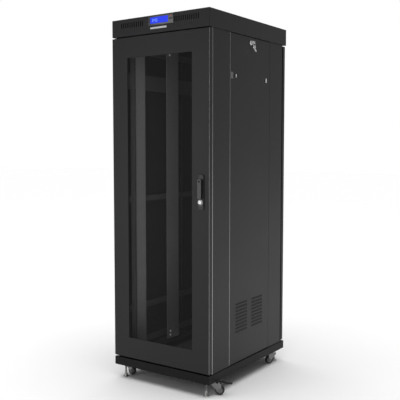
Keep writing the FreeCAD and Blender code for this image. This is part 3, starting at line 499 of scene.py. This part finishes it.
def lathe(name: str, profile: Profile, centre: Sequence[float], along: Along, steps: int = 40,
          turn: float = 0.0) -> Piece:
    """A piece turned on a lathe.

    Args:
        name: The piece's name.
        profile: Points of half its section, each a radius and a height along the axis.
        centre: Where the axis starts.
        along: The axis that it is turned about.
        steps: How many facets it has round the axis.
        turn: A turn of a Y-axis piece about Z, in degrees.

    Returns:
        The turned object, closed at both ends.
    """
    deselect()
    bpy.ops.mesh.primitive_plane_add(size=MM)
    piece = bpy.context.object
    piece.name = name
    shape = bmesh.new()
    points = [shape.verts.new((radius, 0.0, height)) for radius, height in profile]
    for first, second in zip(points, points[1:]):
        shape.edges.new((first, second))
    shape.to_mesh(piece.data)
    shape.free()
    open_mesh()
    bpy.ops.mesh.spin(steps=steps, angle=2 * math.pi, center=(0, 0, 0), axis=(0, 0, 1))
    bpy.ops.mesh.select_all(action="SELECT")
    bpy.ops.mesh.remove_doubles(threshold=WELD / 2)
    face_outwards()
    close_mesh()
    lie = {Along.X: Euler((0, math.pi / 2, 0)), Along.Y: Euler((-math.pi / 2, 0, 0)),
           Along.Z: Euler((0, 0, 0))}[along]
    stand = Matrix.Rotation(math.radians(turn), 4, "Z") @ lie.to_matrix().to_4x4()
    piece.matrix_world = Matrix.Translation(centre) @ stand
    return smooth(settle(piece))


def merged(name: str, pieces: Iterable[Piece]) -> Piece:
    """Several objects joined into one mesh under a new name.

    Args:
        name: The new name.
        pieces: The objects to join.

    Returns:
        The joined object.
    """
    pieces = list(pieces)
    deselect()
    for piece in pieces:
        piece.select_set(True)
    bpy.context.view_layer.objects.active = pieces[0]
    bpy.ops.object.join()
    result = bpy.context.view_layer.objects.active
    result.name = name
    return result


def copied(source: Piece, name: str) -> Piece:
    """A new object with its own copy of another's mesh.

    Args:
        source: The object whose mesh is copied.
        name: The copy's name.

    Returns:
        The copy, at the origin.
    """
    twin = bpy.data.objects.new(name, source.data.copy())
    bpy.context.scene.collection.objects.link(twin)
    return twin


def dress(piece: Piece, finish: Finish) -> Piece:
    """Give a whole object one finish.

    Args:
        piece: The object to dress.
        finish: Its finish.

    Returns:
        The same object.
    """
    piece.data.materials.clear()
    piece.data.materials.append(finish.material())
    return piece


def settle_on(piece: Piece, body: str, finish: Finish,
              stands_for: Sequence[str] = ()) -> Piece:
    """Dress a finished piece, seat it on its body and log it.

    Args:
        piece: The finished object.
        body: The body that it moves with.
        finish: The finish that it gets.
        stands_for: Nodes of the frame that it is shown in place of.

    Returns:
        The same object.
    """
    dress(piece, finish)
    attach(piece, body)
    if stands_for:
        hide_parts(*stands_for)
    LOG.info("%s: %d faces on %s", piece.name, len(piece.data.polygons), body)
    return piece


def body_of(node: str) -> str:
    """The body that a node of the frame belongs to."""
    return frame["nodes"][node]["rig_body"]


def skin_of(word: str) -> tuple[int, float]:
    """Which way the right or left side panel faces along X, and where its outer face is."""
    outward, (low, high) = Side[word.upper()].value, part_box("side_panel_" + word)
    return outward, high.x if outward > 0 else low.x


def eased(node: str, name: str, wide: float, fine: float) -> Piece:
    """A copy of a folded sheet or block with its outer corners rounded and its cut edges eased.

    Args:
        node: The node of the frame to copy.
        name: The new piece's name.
        wide: Radius of the outer corners.
        fine: Radius of every other sharp edge.

    Returns:
        The eased copy.
    """
    flat, sharp, at_side = math.radians(0.5), math.radians(40), 0.05 * MM
    piece = copied(frame["nodes"][node], name)
    pick(piece)
    open_mesh()
    bpy.ops.mesh.remove_doubles(threshold=WELD)
    bpy.ops.mesh.dissolve_limited(angle_limit=flat)
    close_mesh()
    low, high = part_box(node)

    def share(edge: bmesh.types.BMEdge) -> float:
        """The whole radius on an outer corner, and less on any other sharp edge.

        Args:
            edge: An edge of the copy.

        Returns:
            Its share of the radius.
        """
        if len(edge.link_faces) != 2 or edge.calc_face_angle(0.0) < sharp:
            return 0.0
        middle = (edge.verts[0].co + edge.verts[1].co) / 2
        touching = sum(min(abs(middle[axis] - low[axis]), abs(middle[axis] - high[axis])) < at_side
                       for axis in range(3))
        return 1.0 if touching >= 2 else fine / wide

    return evened(weighted_bevel(piece, share, wide, 3))


def refined(node: str, name: str, radii: tuple[float, float], finish: Finish) -> Piece:
    """Show a node of the frame as its eased copy, on the node's own body.

    Args:
        node: The node of the frame.
        name: The copy's name.
        radii: Radius of the outer corners, and of every other sharp edge.
        finish: The finish that the copy gets.

    Returns:
        The copy.
    """
    return settle_on(eased(node, name, *radii), body_of(node), finish, [node])


# Sub-assemblies


@dataclass
class SheetWork:
    """The folded and painted steel that shows outside, with its corners rounded."""

    radii: tuple[float, float] = (2.6 * MM, 0.4 * MM)
    bright_edged: tuple[str, ...] = ("front_door_panel", "side_panel_right", "side_panel_left",
                                     "front_posts")
    highlight_from: float = 290.0 * MM
    slant: float = 0.2
    upright: float = 0.1
    outer: tuple[str, ...] = ("front_door_panel", "rear_door_panel", "side_panel_right",
                              "side_panel_left", "front_posts", "rear_posts", "roof_panel",
                              "roof_skirts", "front_fascia")
    # These take the dimmer coat that paints shade on the low base.
    shade_painted_nodes: tuple[str, ...] = ("base_frame",)
    inner: tuple[str, ...] = ("base_plate", "depth_braces", "top_frame", "fan_tray",
                              "door_stiffeners")
    rails: tuple[str, ...] = ("front_rails", "rear_rails")

    def build(self) -> None:
        """Round the outer sheets and dress the inner ones."""
        for nodes, finish in ((self.outer, POWDER_COAT), (self.shade_painted_nodes, BASE_SHADE_COAT)):
            for node in nodes:
                self._ease(node, finish)
        for nodes, finish in ((self.inner, FRAME_COAT), (self.rails, RAIL_LIT_COAT)):
            for node in nodes:
                dress(frame["nodes"][node], finish)
                LOG.info("%s: dressed", node)

    def _ease(self, node: str, finish: Finish) -> None:
        """Round one sheet, and paint a highlight on the upright front corners, where the lights
        catch its rounded edges.

        Args:
            node: The node of the frame to round.
            finish: The finish of its faces.
        """
        piece = refined(node, node + "_steel", self.radii, finish)
        # Faces that turn to the front at the outer corners get the painted highlight.
        if node in self.bright_edged:
            piece.data.materials.append(EDGE_HIGHLIGHT_COAT.material())
            for face in piece.data.polygons:
                across, forward, up = face.normal
                highlighted = (abs(across) > self.slant and forward < -self.slant
                        and abs(up) < self.upright)
                outer = abs(face.center.x) > self.highlight_from
                face.material_index = 1 if highlighted and outer else 0


@dataclass
class PerforatedSheet:
    """The perforated steel of the front door: rows of six-sided holes."""

    tiers: int = 4
    rows_in_tier: int = 66
    bar: float = 1.0 * MM
    thin: float = 0.6
    node: str = "door_mesh"

    def build(self) -> None:
        """Model one tier of the sheet and copy it up the door."""
        low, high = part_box(self.node)
        tall = (high.z - low.z) / self.tiers
        tier = self._trimmed(self._lattice(low, high, tall), low, high, tall)
        for number in range(self.tiers):
            piece = copied(tier, "door_perforation_%d" % (number + 1))
            piece.data.transform(Matrix.Translation((0, 0, number * tall)))
            settle_on(piece, "front_door", MESH_COAT, [self.node])
        bpy.data.objects.remove(tier)

    def _lattice(self, low: Vector, high: Vector, tall: float) -> Piece:
        """A pair of six-sided rings, repeated across and up past the edges of a tier.

        Args:
            low: The sheet's lowest corner.
            high: The sheet's highest corner.
            tall: The tier's height.

        Returns:
            The flat lattice.
        """
        row = tall / self.rows_in_tier
        pitch = row * 2 / math.sqrt(3)
        across = math.ceil((high.x - low.x) / pitch) + 2
        start = Vector((low.x - pitch / 2, low.y, low.z))
        rings = []
        for shift, lift in ((0.0, 0.0), (pitch / 2, row)):
            deselect()
            bpy.ops.mesh.primitive_circle_add(vertices=6, radius=pitch / math.sqrt(3),
                                              fill_type="NGON", rotation=(math.pi / 2, 0, 0),
                                              location=start + Vector((shift, 0, lift)))
            rings.append(settle(bpy.context.object))
            open_mesh()
            bpy.ops.mesh.inset(thickness=self.bar / 2, use_even_offset=True)
            bpy.ops.mesh.delete(type="FACE")
            close_mesh()
        sheet = merged("tier", rings)
        for name, count, step in (("Across", across, (pitch, 0, 0)),
                                  ("Up", self.rows_in_tier // 2 + 1, (0, 0, 2 * row))):
            array = sheet.modifiers.new(name, "ARRAY")
            array.use_relative_offset, array.use_constant_offset = False, True
            array.constant_offset_displace, array.count = step, count
        return apply_all(sheet)

    def _trimmed(self, sheet: Piece, low: Vector, high: Vector, tall: float) -> Piece:
        """A lattice cut to the tier's edges and given its thickness.

        Args:
            sheet: The flat lattice.
            low: The sheet's lowest corner.
            high: The sheet's highest corner.
            tall: The tier's height.

        Returns:
            The same object.
        """
        open_mesh()
        bpy.ops.mesh.remove_doubles(threshold=WELD)
        for place, normal in ((low, (-1, 0, 0)), (high, (1, 0, 0)), (low, (0, 0, -1)),
                              (low + Vector((0, 0, tall)), (0, 0, 1))):
            bpy.ops.mesh.select_all(action="SELECT")
            bpy.ops.mesh.bisect(plane_co=place, plane_no=normal, clear_outer=True)
        face_outwards()
        close_mesh()
        depth = high.y - low.y
        thick = sheet.modifiers.new("Thickness", "SOLIDIFY")
        thick.thickness, thick.offset = depth * self.thin, 0.0
        sheet.data.transform(Matrix.Translation((0, depth / 2, 0)))
        return apply_all(sheet)


@dataclass
class Louvres:
    """Pressed hoods over the louvre slots of the side panels and the rear door."""

    rise: float = 3.4 * MM
    overlap: float = 3.0 * MM
    underlap: float = 0.5 * MM
    slot_height: float = 6.0 * MM
    pitch: float = 18.0 * MM
    low: float = 276.0 * MM
    high_field: float = 1460.0 * MM
    length: float = 120.0 * MM
    count: int = 9
    bite: float = 0.3 * MM
    taper: float = 0.92
    lip: float = 0.4 * MM
    rounding: float = 0.9 * MM
    crease: float = 25.0
    side_columns: tuple[float, ...] = (-140 * MM, 27 * MM)
    rear_columns: tuple[float, ...] = (-170 * MM, 50 * MM)

    def build(self) -> None:
        """Hood the slots of both side panels and of the rear door."""
        for word in ("right", "left"):
            outward, face = skin_of(word)
            hoods = [self._hood(Along.X, outward, face, start, self.low + step * self.pitch)
                     for start in self.side_columns for step in range(self.count)]
            settle_on(merged("louvres_" + word, hoods), "side_panel_" + word,
                      POWDER_COAT)
        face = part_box("rear_door_panel")[1].y
        hoods = [self._hood(Along.Y, 1, face, start, field_low + step * self.pitch)
                 for start in self.rear_columns for field_low in (self.low, self.high_field)
                 for step in range(self.count)]
        settle_on(merged("louvres_rear", hoods), "rear_door", POWDER_COAT)

    def _hood(self, normal: Along, outward: int, face: float, start: float, level: float) -> Piece:
        """One hood: a wedge that stands out over its slot, with drawn-in ends.

        Args:
            normal: The axis that the sheet faces along.
            outward: 1 or -1, the way it faces on that axis.
            face: Where the sheet's outer face is on that axis.
            start: Where the slot starts across the sheet.
            level: The height of the slot's lower edge.

        Returns:
            The hood.
        """
        foot, top = level - self.underlap, level + self.slot_height + self.overlap
        depth, across = normal.value, 1 - normal.value
        spans = [[], []]
        spans[depth] = sorted((face - self.bite * outward, face + self.rise * outward))
        spans[across] = [start, start + self.length]
        x, y = spans
        hood = cuboid("hood", (x[0], y[0], foot), (x[1], y[1], top))
        middle = start + self.length / 2
        for vertex in hood.data.vertices:
            if (vertex.co[depth] - face) * outward > 0.0:
                vertex.co[across] = middle + (vertex.co[across] - middle) * self.taper
                if vertex.co.z > (foot + top) / 2:
                    vertex.co[depth] = face + self.lip * outward
        return rounded(hood, self.rounding, angle=self.crease)


@dataclass
class SwingHandle:
    """The door's handle: a dish, a lever, a spindle and a chrome lock with its ring."""

    corner: float = 8.5 * MM
    rim: float = 3.2 * MM
    recess: float = 2.6 * MM
    plug_chamfer: float = 1.2 * MM
    keyway: tuple[float, float, float] = (0.8 * MM, 1.0 * MM, 4.0 * MM)
    ring_depth: float = 4.0 * MM
    ring_proud: float = 1.6 * MM
    collar: float = 16.5 * MM
    collar_proud: float = 0.6 * MM

    def build(self) -> None:
        """Model the dish and the lock, and round the lever."""
        self._dish()
        refined("handle_lever", "lever_grip", (2.4 * MM, 0.5 * MM), LEVER_BLACK)
        dress(frame["nodes"]["handle_spindle"], LEVER_BLACK)
        self._lock()

    def _dish(self) -> None:
        """A rounded plate with a raised rim round a sunk floor."""
        low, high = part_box("handle_dish")
        dish = cuboid("handle_plate", low, high)
        weighted_bevel(dish, self._runs_deep, self.corner, 7)
        open_mesh("DESELECT")
        close_mesh()
        for face in dish.data.polygons:
            face.select = face.normal.y < -0.9
        bpy.ops.object.mode_set(mode="EDIT")
        bpy.ops.mesh.select_mode(type="FACE")
        bpy.ops.mesh.inset(thickness=self.rim)
        bpy.ops.mesh.extrude_region_move(TRANSFORM_OT_translate={"value": (0, self.recess, 0)})
        close_mesh()
        settle_on(rounded(dish, 0.7 * MM), "front_door", MOULDED_BLACK,
                  ["handle_dish"])

    def _runs_deep(self, edge: bmesh.types.BMEdge) -> float:
        """1 for an edge that runs along Y, and 0 for any other."""
        run = edge.verts[1].co - edge.verts[0].co
        return float(abs(run.y) > max(abs(run.x), abs(run.z)))

    def _lock(self) -> None:
        """The chrome plug with its keyway, and the chrome ring round it."""
        low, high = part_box("door_lock_plug")
        centre, front, depth = (low + high) / 2, low.y, high.y - low.y
        radius = (high.x - low.x) / 2
        plug_profile = [(0.0, depth), (radius, depth), (radius, self.plug_chamfer),
                        (radius - self.plug_chamfer, 0.0), (0.0, 0.0)]
        plug = lathe("plug", plug_profile, (centre.x, front, centre.z), Along.Y, 36)
        settle_on(plug, "door_lock", LOCK_STEEL, ["door_lock_plug"])
        half, deep, tall = self.keyway
        # A black block in the solid plug paints the shade of the keyway's slot.
        keyway = cuboid("keyway_painted_shade", (centre.x - half, front - 0.05 * MM, centre.z - tall),
                        (centre.x + half, front + deep, centre.z + tall))
        settle_on(rounded(keyway, 0.3 * MM), "door_lock", MOULDED_BLACK)
        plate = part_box("handle_dish")[0].y
        inner, outer = radius + 0.4 * MM, radius + 3.4 * MM
        ring_profile = [(inner, self.ring_depth), (inner, 0.8 * MM), (inner + 0.8 * MM, 0.0),
                        (outer - 1.2 * MM, 0.0), (outer, 1.4 * MM), (outer, self.ring_depth),
                        (inner, self.ring_depth)]
        ring = lathe("lock_ring", ring_profile, (centre.x, plate - self.ring_proud, centre.z),
                     Along.Y, 40)
        settle_on(ring, "front_door", LOCK_STEEL)
        wide = self.collar
        collar_profile = [(wide - 3.0 * MM, 3.0 * MM), (wide - 2.6 * MM, 0.5 * MM),
                          (wide - 1.3 * MM, 0.0), (wide, 0.6 * MM), (wide + 0.3 * MM, 3.0 * MM),
                          (wide - 3.0 * MM, 3.0 * MM)]
        collar = lathe("lock_collar", collar_profile,
                       (centre.x, plate - self.collar_proud, centre.z), Along.Y, 48)
        settle_on(collar, "front_door", TAB_GREY)


@dataclass
class DisplayUnit:
    """The temperature display: its surround, lit screen, figures, lamp and push-buttons."""

    figures: str = "24.5"
    stroke: float = 1.6 * MM
    figure_size: tuple[float, float] = (8.0 * MM, 14.0 * MM)
    gap: float = 4.0 * MM
    margin: float = 12.0 * MM
    lamp_place: tuple[float, float, float] = (16.0 * MM, 1.6 * MM, 3.0 * MM)

    SEGMENTS = {"0": "abcdef", "1": "bc", "2": "abged", "3": "abgcd", "4": "fgbc", "5": "afgcd",
                "6": "afgedc", "7": "abc", "8": "abcdefg", "9": "abcdfg"}

    def build(self) -> None:
        """Model each piece of the unit."""
        refined("control_unit", "display_surround", (1.0 * MM, 0.3 * MM),
                GLOSS_BLACK)
        dress(frame["nodes"]["lcd_screen"], SCREEN_BLUE)
        self._figures()
        self._lamp()
        for number in (1, 2, 3):
            refined("control_button_%d" % number, "button_cap_%d" % number,
                    (0.5 * MM, 0.2 * MM), MOULDED_BLACK)

    def _figures(self) -> None:
        """Seven-stroke figures on the screen."""
        low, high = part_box("lcd_screen")
        wide, tall = self.figure_size
        foot = (low.z + high.z - tall) / 2
        strokes = []
        across = low.x + self.margin
        for character in self.figures:
            if character == ".":
                strokes.append(self._stroke(low.y, across - self.gap / 2, foot, self.stroke,
                                            self.stroke))
                continue
            bars = {"a": (0, tall - self.stroke, wide, self.stroke), "d": (0, 0, wide, self.stroke),
                    "g": (0, (tall - self.stroke) / 2, wide, self.stroke),
                    "b": (wide - self.stroke, tall / 2, self.stroke, tall / 2),
                    "c": (wide - self.stroke, 0, self.stroke, tall / 2),
                    "e": (0, 0, self.stroke, tall / 2), "f": (0, tall / 2, self.stroke, tall / 2)}
            for bar in self.SEGMENTS[character]:
                x, z, width, height = bars[bar]
                strokes.append(self._stroke(low.y, across + x, foot + z, width, height))
            across += wide + self.gap
        settle_on(merged("screen_figures", strokes), "cabinet", DIGIT_LIGHT)

    def _stroke(self, face: float, x: float, z: float, wide: float, tall: float) -> Piece:
        """One lit stroke, a hair proud of the screen."""
        return cuboid("stroke", (x, face - 0.25 * MM, z), (x + wide, face + 0.05 * MM, z + tall))

    def _lamp(self) -> None:
        """A small red lamp to the right of the screen."""
        low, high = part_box("lcd_screen")
        dome = [(0.0, 2.4 * MM), (2.0 * MM, 2.4 * MM), (2.0 * MM, 1.0 * MM),
                (1.5 * MM, 0.3 * MM), (0.0, 0.0)]
        beside, proud, down = self.lamp_place
        lamp = lathe("lamp", dome, (high.x + beside, low.y - proud, high.z - down), Along.Y, 20)
        settle_on(lamp, "cabinet", LAMP_RED)


@dataclass
class Badge:
    """A plain pale plate with no mark on it, under the display."""

    half_width: float = 50.0 * MM
    low: float = 1822.0 * MM
    high: float = 1831.0 * MM
    proud: float = 0.9 * MM

    def build(self) -> None:
        """Model the plate with rounded edges."""
        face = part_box("front_fascia")[0].y
        plate = cuboid("badge_plate", (-self.half_width, face - self.proud, self.low),
                       (self.half_width, face + 0.2 * MM, self.high))
        settle_on(rounded(plate, 0.4 * MM), "cabinet", BADGE_PALE)


@dataclass
class SideFittings:
    """Locks, slide latches and keys of the side panels."""

    cam_reach: float = 22.0 * MM
    tail: float = 30.0 * MM
    front_grip: tuple[float, float, float] = (10.0 * MM, 2.0 * MM, 8.5 * MM)
    rear_grip: tuple[float, float, float] = (5.0 * MM, 3.5 * MM, 11.0 * MM)
    grip_bite: float = 1.0 * MM
    grip_proud: float = 1.2 * MM
    tab_size: tuple[float, float] = (23.0 * MM, 32.0 * MM)
    tab_bite: float = 0.3 * MM
    tab_proud: float = 1.8 * MM
    tab_margin: float = 3.0 * MM
    ring_inner: float = 8.4 * MM

    def build(self) -> None:
        """Dress the latches, ring the locks and round the keys."""
        for word in ("right", "left"):
            for where in ("front", "rear"):
                node = "slide_latch_%s_%s" % (word, where)
                refined(node, node + "_slider", (0.8 * MM, 0.4 * MM),
                        MOULDED_BLACK)
                self._grip(node, Side[word.upper()])
            self._tab(word)
            self._lock_ring(word)
            dress(frame["nodes"]["side_lock_" + word], LOCK_STEEL)
        for node in ("key", "spare_key"):
            # The keys' near-white finish paints their glint.
            refined(node, node + "_cut", (0.3 * MM, 0.25 * MM), NICKEL_GLINT)
        dress(frame["nodes"]["key_ring"], CHROME)
        dress(frame["nodes"]["rear_lock_plug"], CHROME)

    def _grip(self, node: str, side: Side) -> None:
        """A plated bar on the thumb ridge of a slide latch.

        Args:
            node: The latch's node.
            side: The side of the cabinet that it is on.
        """
        low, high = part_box(node)
        proud = high.x if side is Side.RIGHT else low.x
        toward_front = low.y < 0
        shift, half, rise = self.front_grip if toward_front else self.rear_grip
        middle = shift + (high.y - self.tail if toward_front else low.y + self.tail)
        level = (low.z + high.z) / 2
        x = sorted((proud - side.value * self.grip_bite, proud + side.value * self.grip_proud))
        bar = cuboid(node + "_grip", (x[0], middle - half, level - rise),
                     (x[1], middle + half, level + rise))
        # The grip's near-white finish paints its glint.
        settle_on(rounded(bar, 0.8 * MM, 3), node, NICKEL_GLINT)

    def _tab(self, word: str) -> None:
        """A moulded guide on the skin between the panel's front edge and the latch's window.

        Args:
            word: The side of the cabinet, right or left.
        """
        outward, face = skin_of(word)
        low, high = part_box("slide_latch_%s_front" % word)
        level, (wide, tall) = (low.z + high.z) / 2, self.tab_size
        x = sorted((face - outward * self.tab_bite, face + outward * self.tab_proud))
        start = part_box("side_panel_" + word)[0].y + self.tab_margin
        tab = cuboid("latch_guide_" + word, (x[0], start, level - tall / 2),
                     (x[1], start + wide, level + tall / 2))
        settle_on(rounded(tab, 0.9 * MM, 3), "side_panel_" + word, TAB_GREY)

    def _lock_ring(self, word: str) -> None:
        """A chrome ring pressed round a side lock.

        Args:
            word: The side of the cabinet, right or left.
        """
        low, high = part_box("side_lock_" + word)
        outward, face = skin_of(word)
        level = high.z - self.cam_reach
        radius = self.ring_inner
        profile = [(radius, 0.0), (radius, 2.0 * MM), (radius + 1.0 * MM, 2.6 * MM),
                   (radius + 3.4 * MM, 1.4 * MM), (radius + 4.0 * MM, 0.0), (radius, 0.0)]
        if outward < 0:
            profile = [(r, -h) for r, h in profile]
        ring = lathe("side_lock_ring_" + word, profile, (face, (low.y + high.y) / 2, level),
                     Along.X)
        settle_on(ring, "side_panel_" + word, CHROME)


@dataclass
class Castors:
    """Castor wheels with rubber tyres on pale hubs, their forks, pedals and swivel mounts."""

    hub_radius: float = 17.5 * MM
    half_width: float = 8.5 * MM
    bore: float = 3.4 * MM
    spokes: int = 6

    def build(self) -> None:
        """Model each castor's wheel and dress its steelwork."""
        dress(frame["nodes"]["castor_mounts"], ZINC)
        for corner in CORNERS:
            # The forks take the dimmer zinc that paints the shade under the cabinet.
            refined("castor_fork_" + corner, "fork_zinc_painted_shade_" + corner, (0.9 * MM, 0.4 * MM),
                    FORK_ZINC_SHADED)
            self._wheel(corner)
            node = "brake_pedal_" + corner
            if node in frame["nodes"]:
                refined(node, node + "_tread", (0.9 * MM, 0.5 * MM),
                        MOULDED_BLACK)

    def _heading(self, corner: str) -> float:
        """The way that a castor trails, in degrees about Z, from its rolling axis."""
        x, y, _ = next(j["axis"] for j in frame["joints"] if j["name"] == "castor_%s_roll" % corner)
        return math.degrees(math.atan2(-x, y))

    def _wheel(self, corner: str) -> None:
        """A tyre with a crowned tread and two grooves, and a spoked hub.

        Args:
            corner: The corner of the cabinet that the wheel is at.
        """
        node = "castor_wheel_" + corner
        low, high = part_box(node)
        centre = (low + high) / 2
        radius, half, hub = (high.z - low.z) / 2, self.half_width, self.hub_radius
        tread = [(hub, -half), (radius - 3.2 * MM, -half), (radius - 1.2 * MM, -half + 1.0 * MM),
                 (radius - 0.2 * MM, -half + 3.0 * MM), (radius - 0.9 * MM, -2.4 * MM),
                 (radius, -1.6 * MM)]
        turn = self._heading(corner)
        tyre = lathe("tyre_" + corner, self._both_sides(tread), centre, Along.Y, 48, turn)
        settle_on(tyre, node, TYRE, [node])
        boss, web, rim = -half + 0.4 * MM, -half + 3.4 * MM, -half + 0.6 * MM
        disc = [(self.bore, boss), (6 * MM, boss), (7 * MM, web), (hub - 3 * MM, web),
                (hub - 2 * MM, rim), (hub, rim)]
        pieces = [lathe("disc", self._both_sides(disc), centre, Along.Y, 40, turn)]
        stand = Matrix.Rotation(math.radians(turn), 4, "Z")
        for number in range(self.spokes):
            rib = cuboid("rib", (5 * MM, -half + 1.2 * MM, -0.9 * MM),
                         (hub - 1.5 * MM, half - 1.2 * MM, 0.9 * MM))
            spin = Matrix.Rotation(math.radians(360 / self.spokes * number), 4, "Y")
            rib.data.transform(Matrix.Translation(centre) @ stand @ spin)
            pieces.append(rib)
        settle_on(merged("hub_" + corner, pieces), node, HUB_GREY)

    def _both_sides(self, near: Profile) -> Profile:
        """A closed profile from its near half and the same half mirrored."""
        return near + [(radius, -height) for radius, height in reversed(near)] + near[:1]


@dataclass
class LevellingFeet:
    """Bell-shaped feet on threaded studs."""

    thread_pitch: float = 1.5 * MM
    thread_depth: float = 0.45 * MM
    stud_radius: float = 5.0 * MM
    thread_from: float = 28.6 * MM
    plain_end: float = 2.0 * MM

    def build(self) -> None:
        """Turn each foot with its thread ridges."""
        for corner in CORNERS:
            node = "levelling_foot_" + corner
            low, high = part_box(node)
            centre = (low + high) / 2
            radius = (high.x - low.x) / 2
            profile = [(0.0, 0.0), (radius - 0.8 * MM, 0.0), (radius, 0.8 * MM),
                       (radius, 2.6 * MM), (radius - 1.4 * MM, 4.2 * MM), (10.6 * MM, 8.5 * MM),
                       (8.8 * MM, 13.5 * MM), (7.6 * MM, 18.5 * MM), (6.9 * MM, 24.0 * MM),
                       (6.5 * MM, 27.4 * MM), (5.9 * MM, 28.0 * MM)]
            level = self.thread_from
            while level < high.z - self.plain_end:
                profile += [(self.stud_radius, level),
                            (self.stud_radius - self.thread_depth, level + self.thread_pitch / 2)]
                level += self.thread_pitch
            profile += [(4.4 * MM, high.z), (0.0, high.z)]
            foot = lathe("foot_" + corner, profile, (centre.x, centre.y, low.z), Along.Z, 36)
            settle_on(foot, node, ZINC, [node])


@dataclass
class RoofFans:
    """The fans under the roof: housings, impellers and wire guards."""

    fans: int = 4

    def build(self) -> None:
        """Dress the fans."""
        refined("fan_housings", "fan_frames", (2.0 * MM, 0.5 * MM),
                MOULDED_BLACK)
        for number in range(1, self.fans + 1):
            dress(frame["nodes"]["fan_rotor_%d" % number], MOULDED_BLACK)
        dress(frame["nodes"]["fan_guards"], WIRE)


@dataclass
class Fixings:
    """Hinge pins, nuts, screws and the earthing stud."""

    def build(self) -> None:
        """Dress the small steel pieces."""
        dress(frame["nodes"]["hinge_pins"], ZINC)
        dress(frame["nodes"]["screws_and_nuts"], SCREW_PLATE)


@dataclass(frozen=True)
class Softbox:
    """One soft light: where it hangs, what it is aimed at, its two sides and its power."""

    name: str
    place: tuple[float, float, float]
    target: tuple[float, float, float]
    sides: tuple[float, float]
    power: float

    def hang(self) -> None:
        """Put the light in the studio."""
        lamp = bpy.data.lights.new(self.name, "AREA")
        lamp.shape = "RECTANGLE"
        lamp.size, lamp.size_y = self.sides
        lamp.energy = self.power
        holder = bpy.data.objects.new(self.name, lamp)
        holder.location = self.place
        holder.visible_camera = False
        aim = Vector(self.target) - Vector(self.place)
        holder.rotation_euler = aim.to_track_quat("-Z", "Y").to_euler()
        bpy.context.scene.collection.objects.link(holder)


@dataclass
class Studio:
    """A plain pale floor, soft light and the camera."""

    azimuth: float = 36.3
    pitch: float = 4.223
    roll: float = -0.2
    lens: float = 61.865
    sideways_shift: float = 0.0875
    camera_place: tuple[float, float, float] = (2.0722, -3.1706, 1.2242)
    sensor: float = 36.0
    far: float = 60.0
    fill: float = 0.24
    overhead: float = 2.9
    overhead_spread: float = 70.0
    lights: tuple[Softbox, ...] = (
        Softbox("front_key", (-2.2, -4.1, 1.5), (0.2, -0.4, 1.0), (1.0, 2.4), 22.0),
        Softbox("rear_side", (3.0, 4.6, 2.3), (0.3, 0.3, 1.2), (1.2, 2.0), 4.5),
        Softbox("inside", (0.0, -0.355, 1.0), (0.0, 0.4, 1.0), (0.34, 1.4), 5.0),
        Softbox("edge_strip", (1.5, -3.9, 1.9), (0.3, -0.4, 1.4), (0.35, 1.6), 7.0),
    )

    def build(self) -> None:
        """Set the floor, the sky, the lights and the camera."""
        deselect()
        bpy.ops.mesh.primitive_plane_add(size=self.far, location=(0, 0, -0.5 * MM))
        floor = settle(bpy.context.object)
        floor.name = "studio_floor"
        dress(floor, FLOOR_PALE)
        self._sky()
        for light in self.lights:
            light.hang()
        self._overhead()
        self._camera()

    def _sky(self) -> None:
        """A white backdrop that lights the object only gently."""
        world = bpy.data.worlds.new("studio_sky")
        world.use_nodes = True
        nodes, link = world.node_tree.nodes, world.node_tree.links.new
        backdrop = nodes["Background"]
        backdrop.inputs["Color"].default_value = (1.0, 1.0, 1.0, 1.0)
        path = placed(nodes, "LightPath")
        strength = placed(nodes, "MapRange", {"To Min": self.fill, "To Max": 1.0})
        link(path.outputs["Is Camera Ray"], strength.inputs["Value"])
        link(strength.outputs["Result"], backdrop.inputs["Strength"])
        bpy.context.scene.world = world
        bpy.context.scene.view_settings.view_transform = "Standard"

    def _overhead(self) -> None:
        """A very broad light from straight above, which keeps the floor pale to its edge."""
        lamp = bpy.data.lights.new("overhead", "SUN")
        lamp.energy, lamp.angle = self.overhead, math.radians(self.overhead_spread)
        holder = bpy.data.objects.new("overhead", lamp)
        holder.location = (0.0, 0.0, 4.0)
        bpy.context.scene.collection.objects.link(holder)

    def _camera(self) -> None:
        """A level view from the front right, a little above the middle of the door."""
        lens = bpy.data.cameras.new("camera")
        lens.lens, lens.sensor_width, lens.shift_x = self.lens, self.sensor, self.sideways_shift
        lens.clip_end = self.far
        holder = bpy.data.objects.new("camera", lens)
        turn = (Matrix.Rotation(math.radians(self.azimuth), 4, "Z")
                @ Matrix.Rotation(math.radians(90 - self.pitch), 4, "X")
                @ Matrix.Rotation(math.radians(self.roll), 4, "Z"))
        holder.matrix_world = Matrix.Translation(self.camera_place) @ turn
        bpy.context.scene.collection.objects.link(holder)
        bpy.context.scene.camera = holder


def main() -> None:
    """Build every sub-assembly in order."""
    logging.basicConfig(level=logging.INFO, format="%(name)s: %(message)s")
    assemblies = (Studio(), SheetWork(), PerforatedSheet(), Louvres(), SwingHandle(),
                  DisplayUnit(), Badge(), SideFittings(), Castors(), LevellingFeet(),
                  RoofFans(), Fixings())
    for assembly in assemblies:
        assembly.build()
        LOG.info("%s built", type(assembly).__name__)


if __name__ == "__main__":
    main()
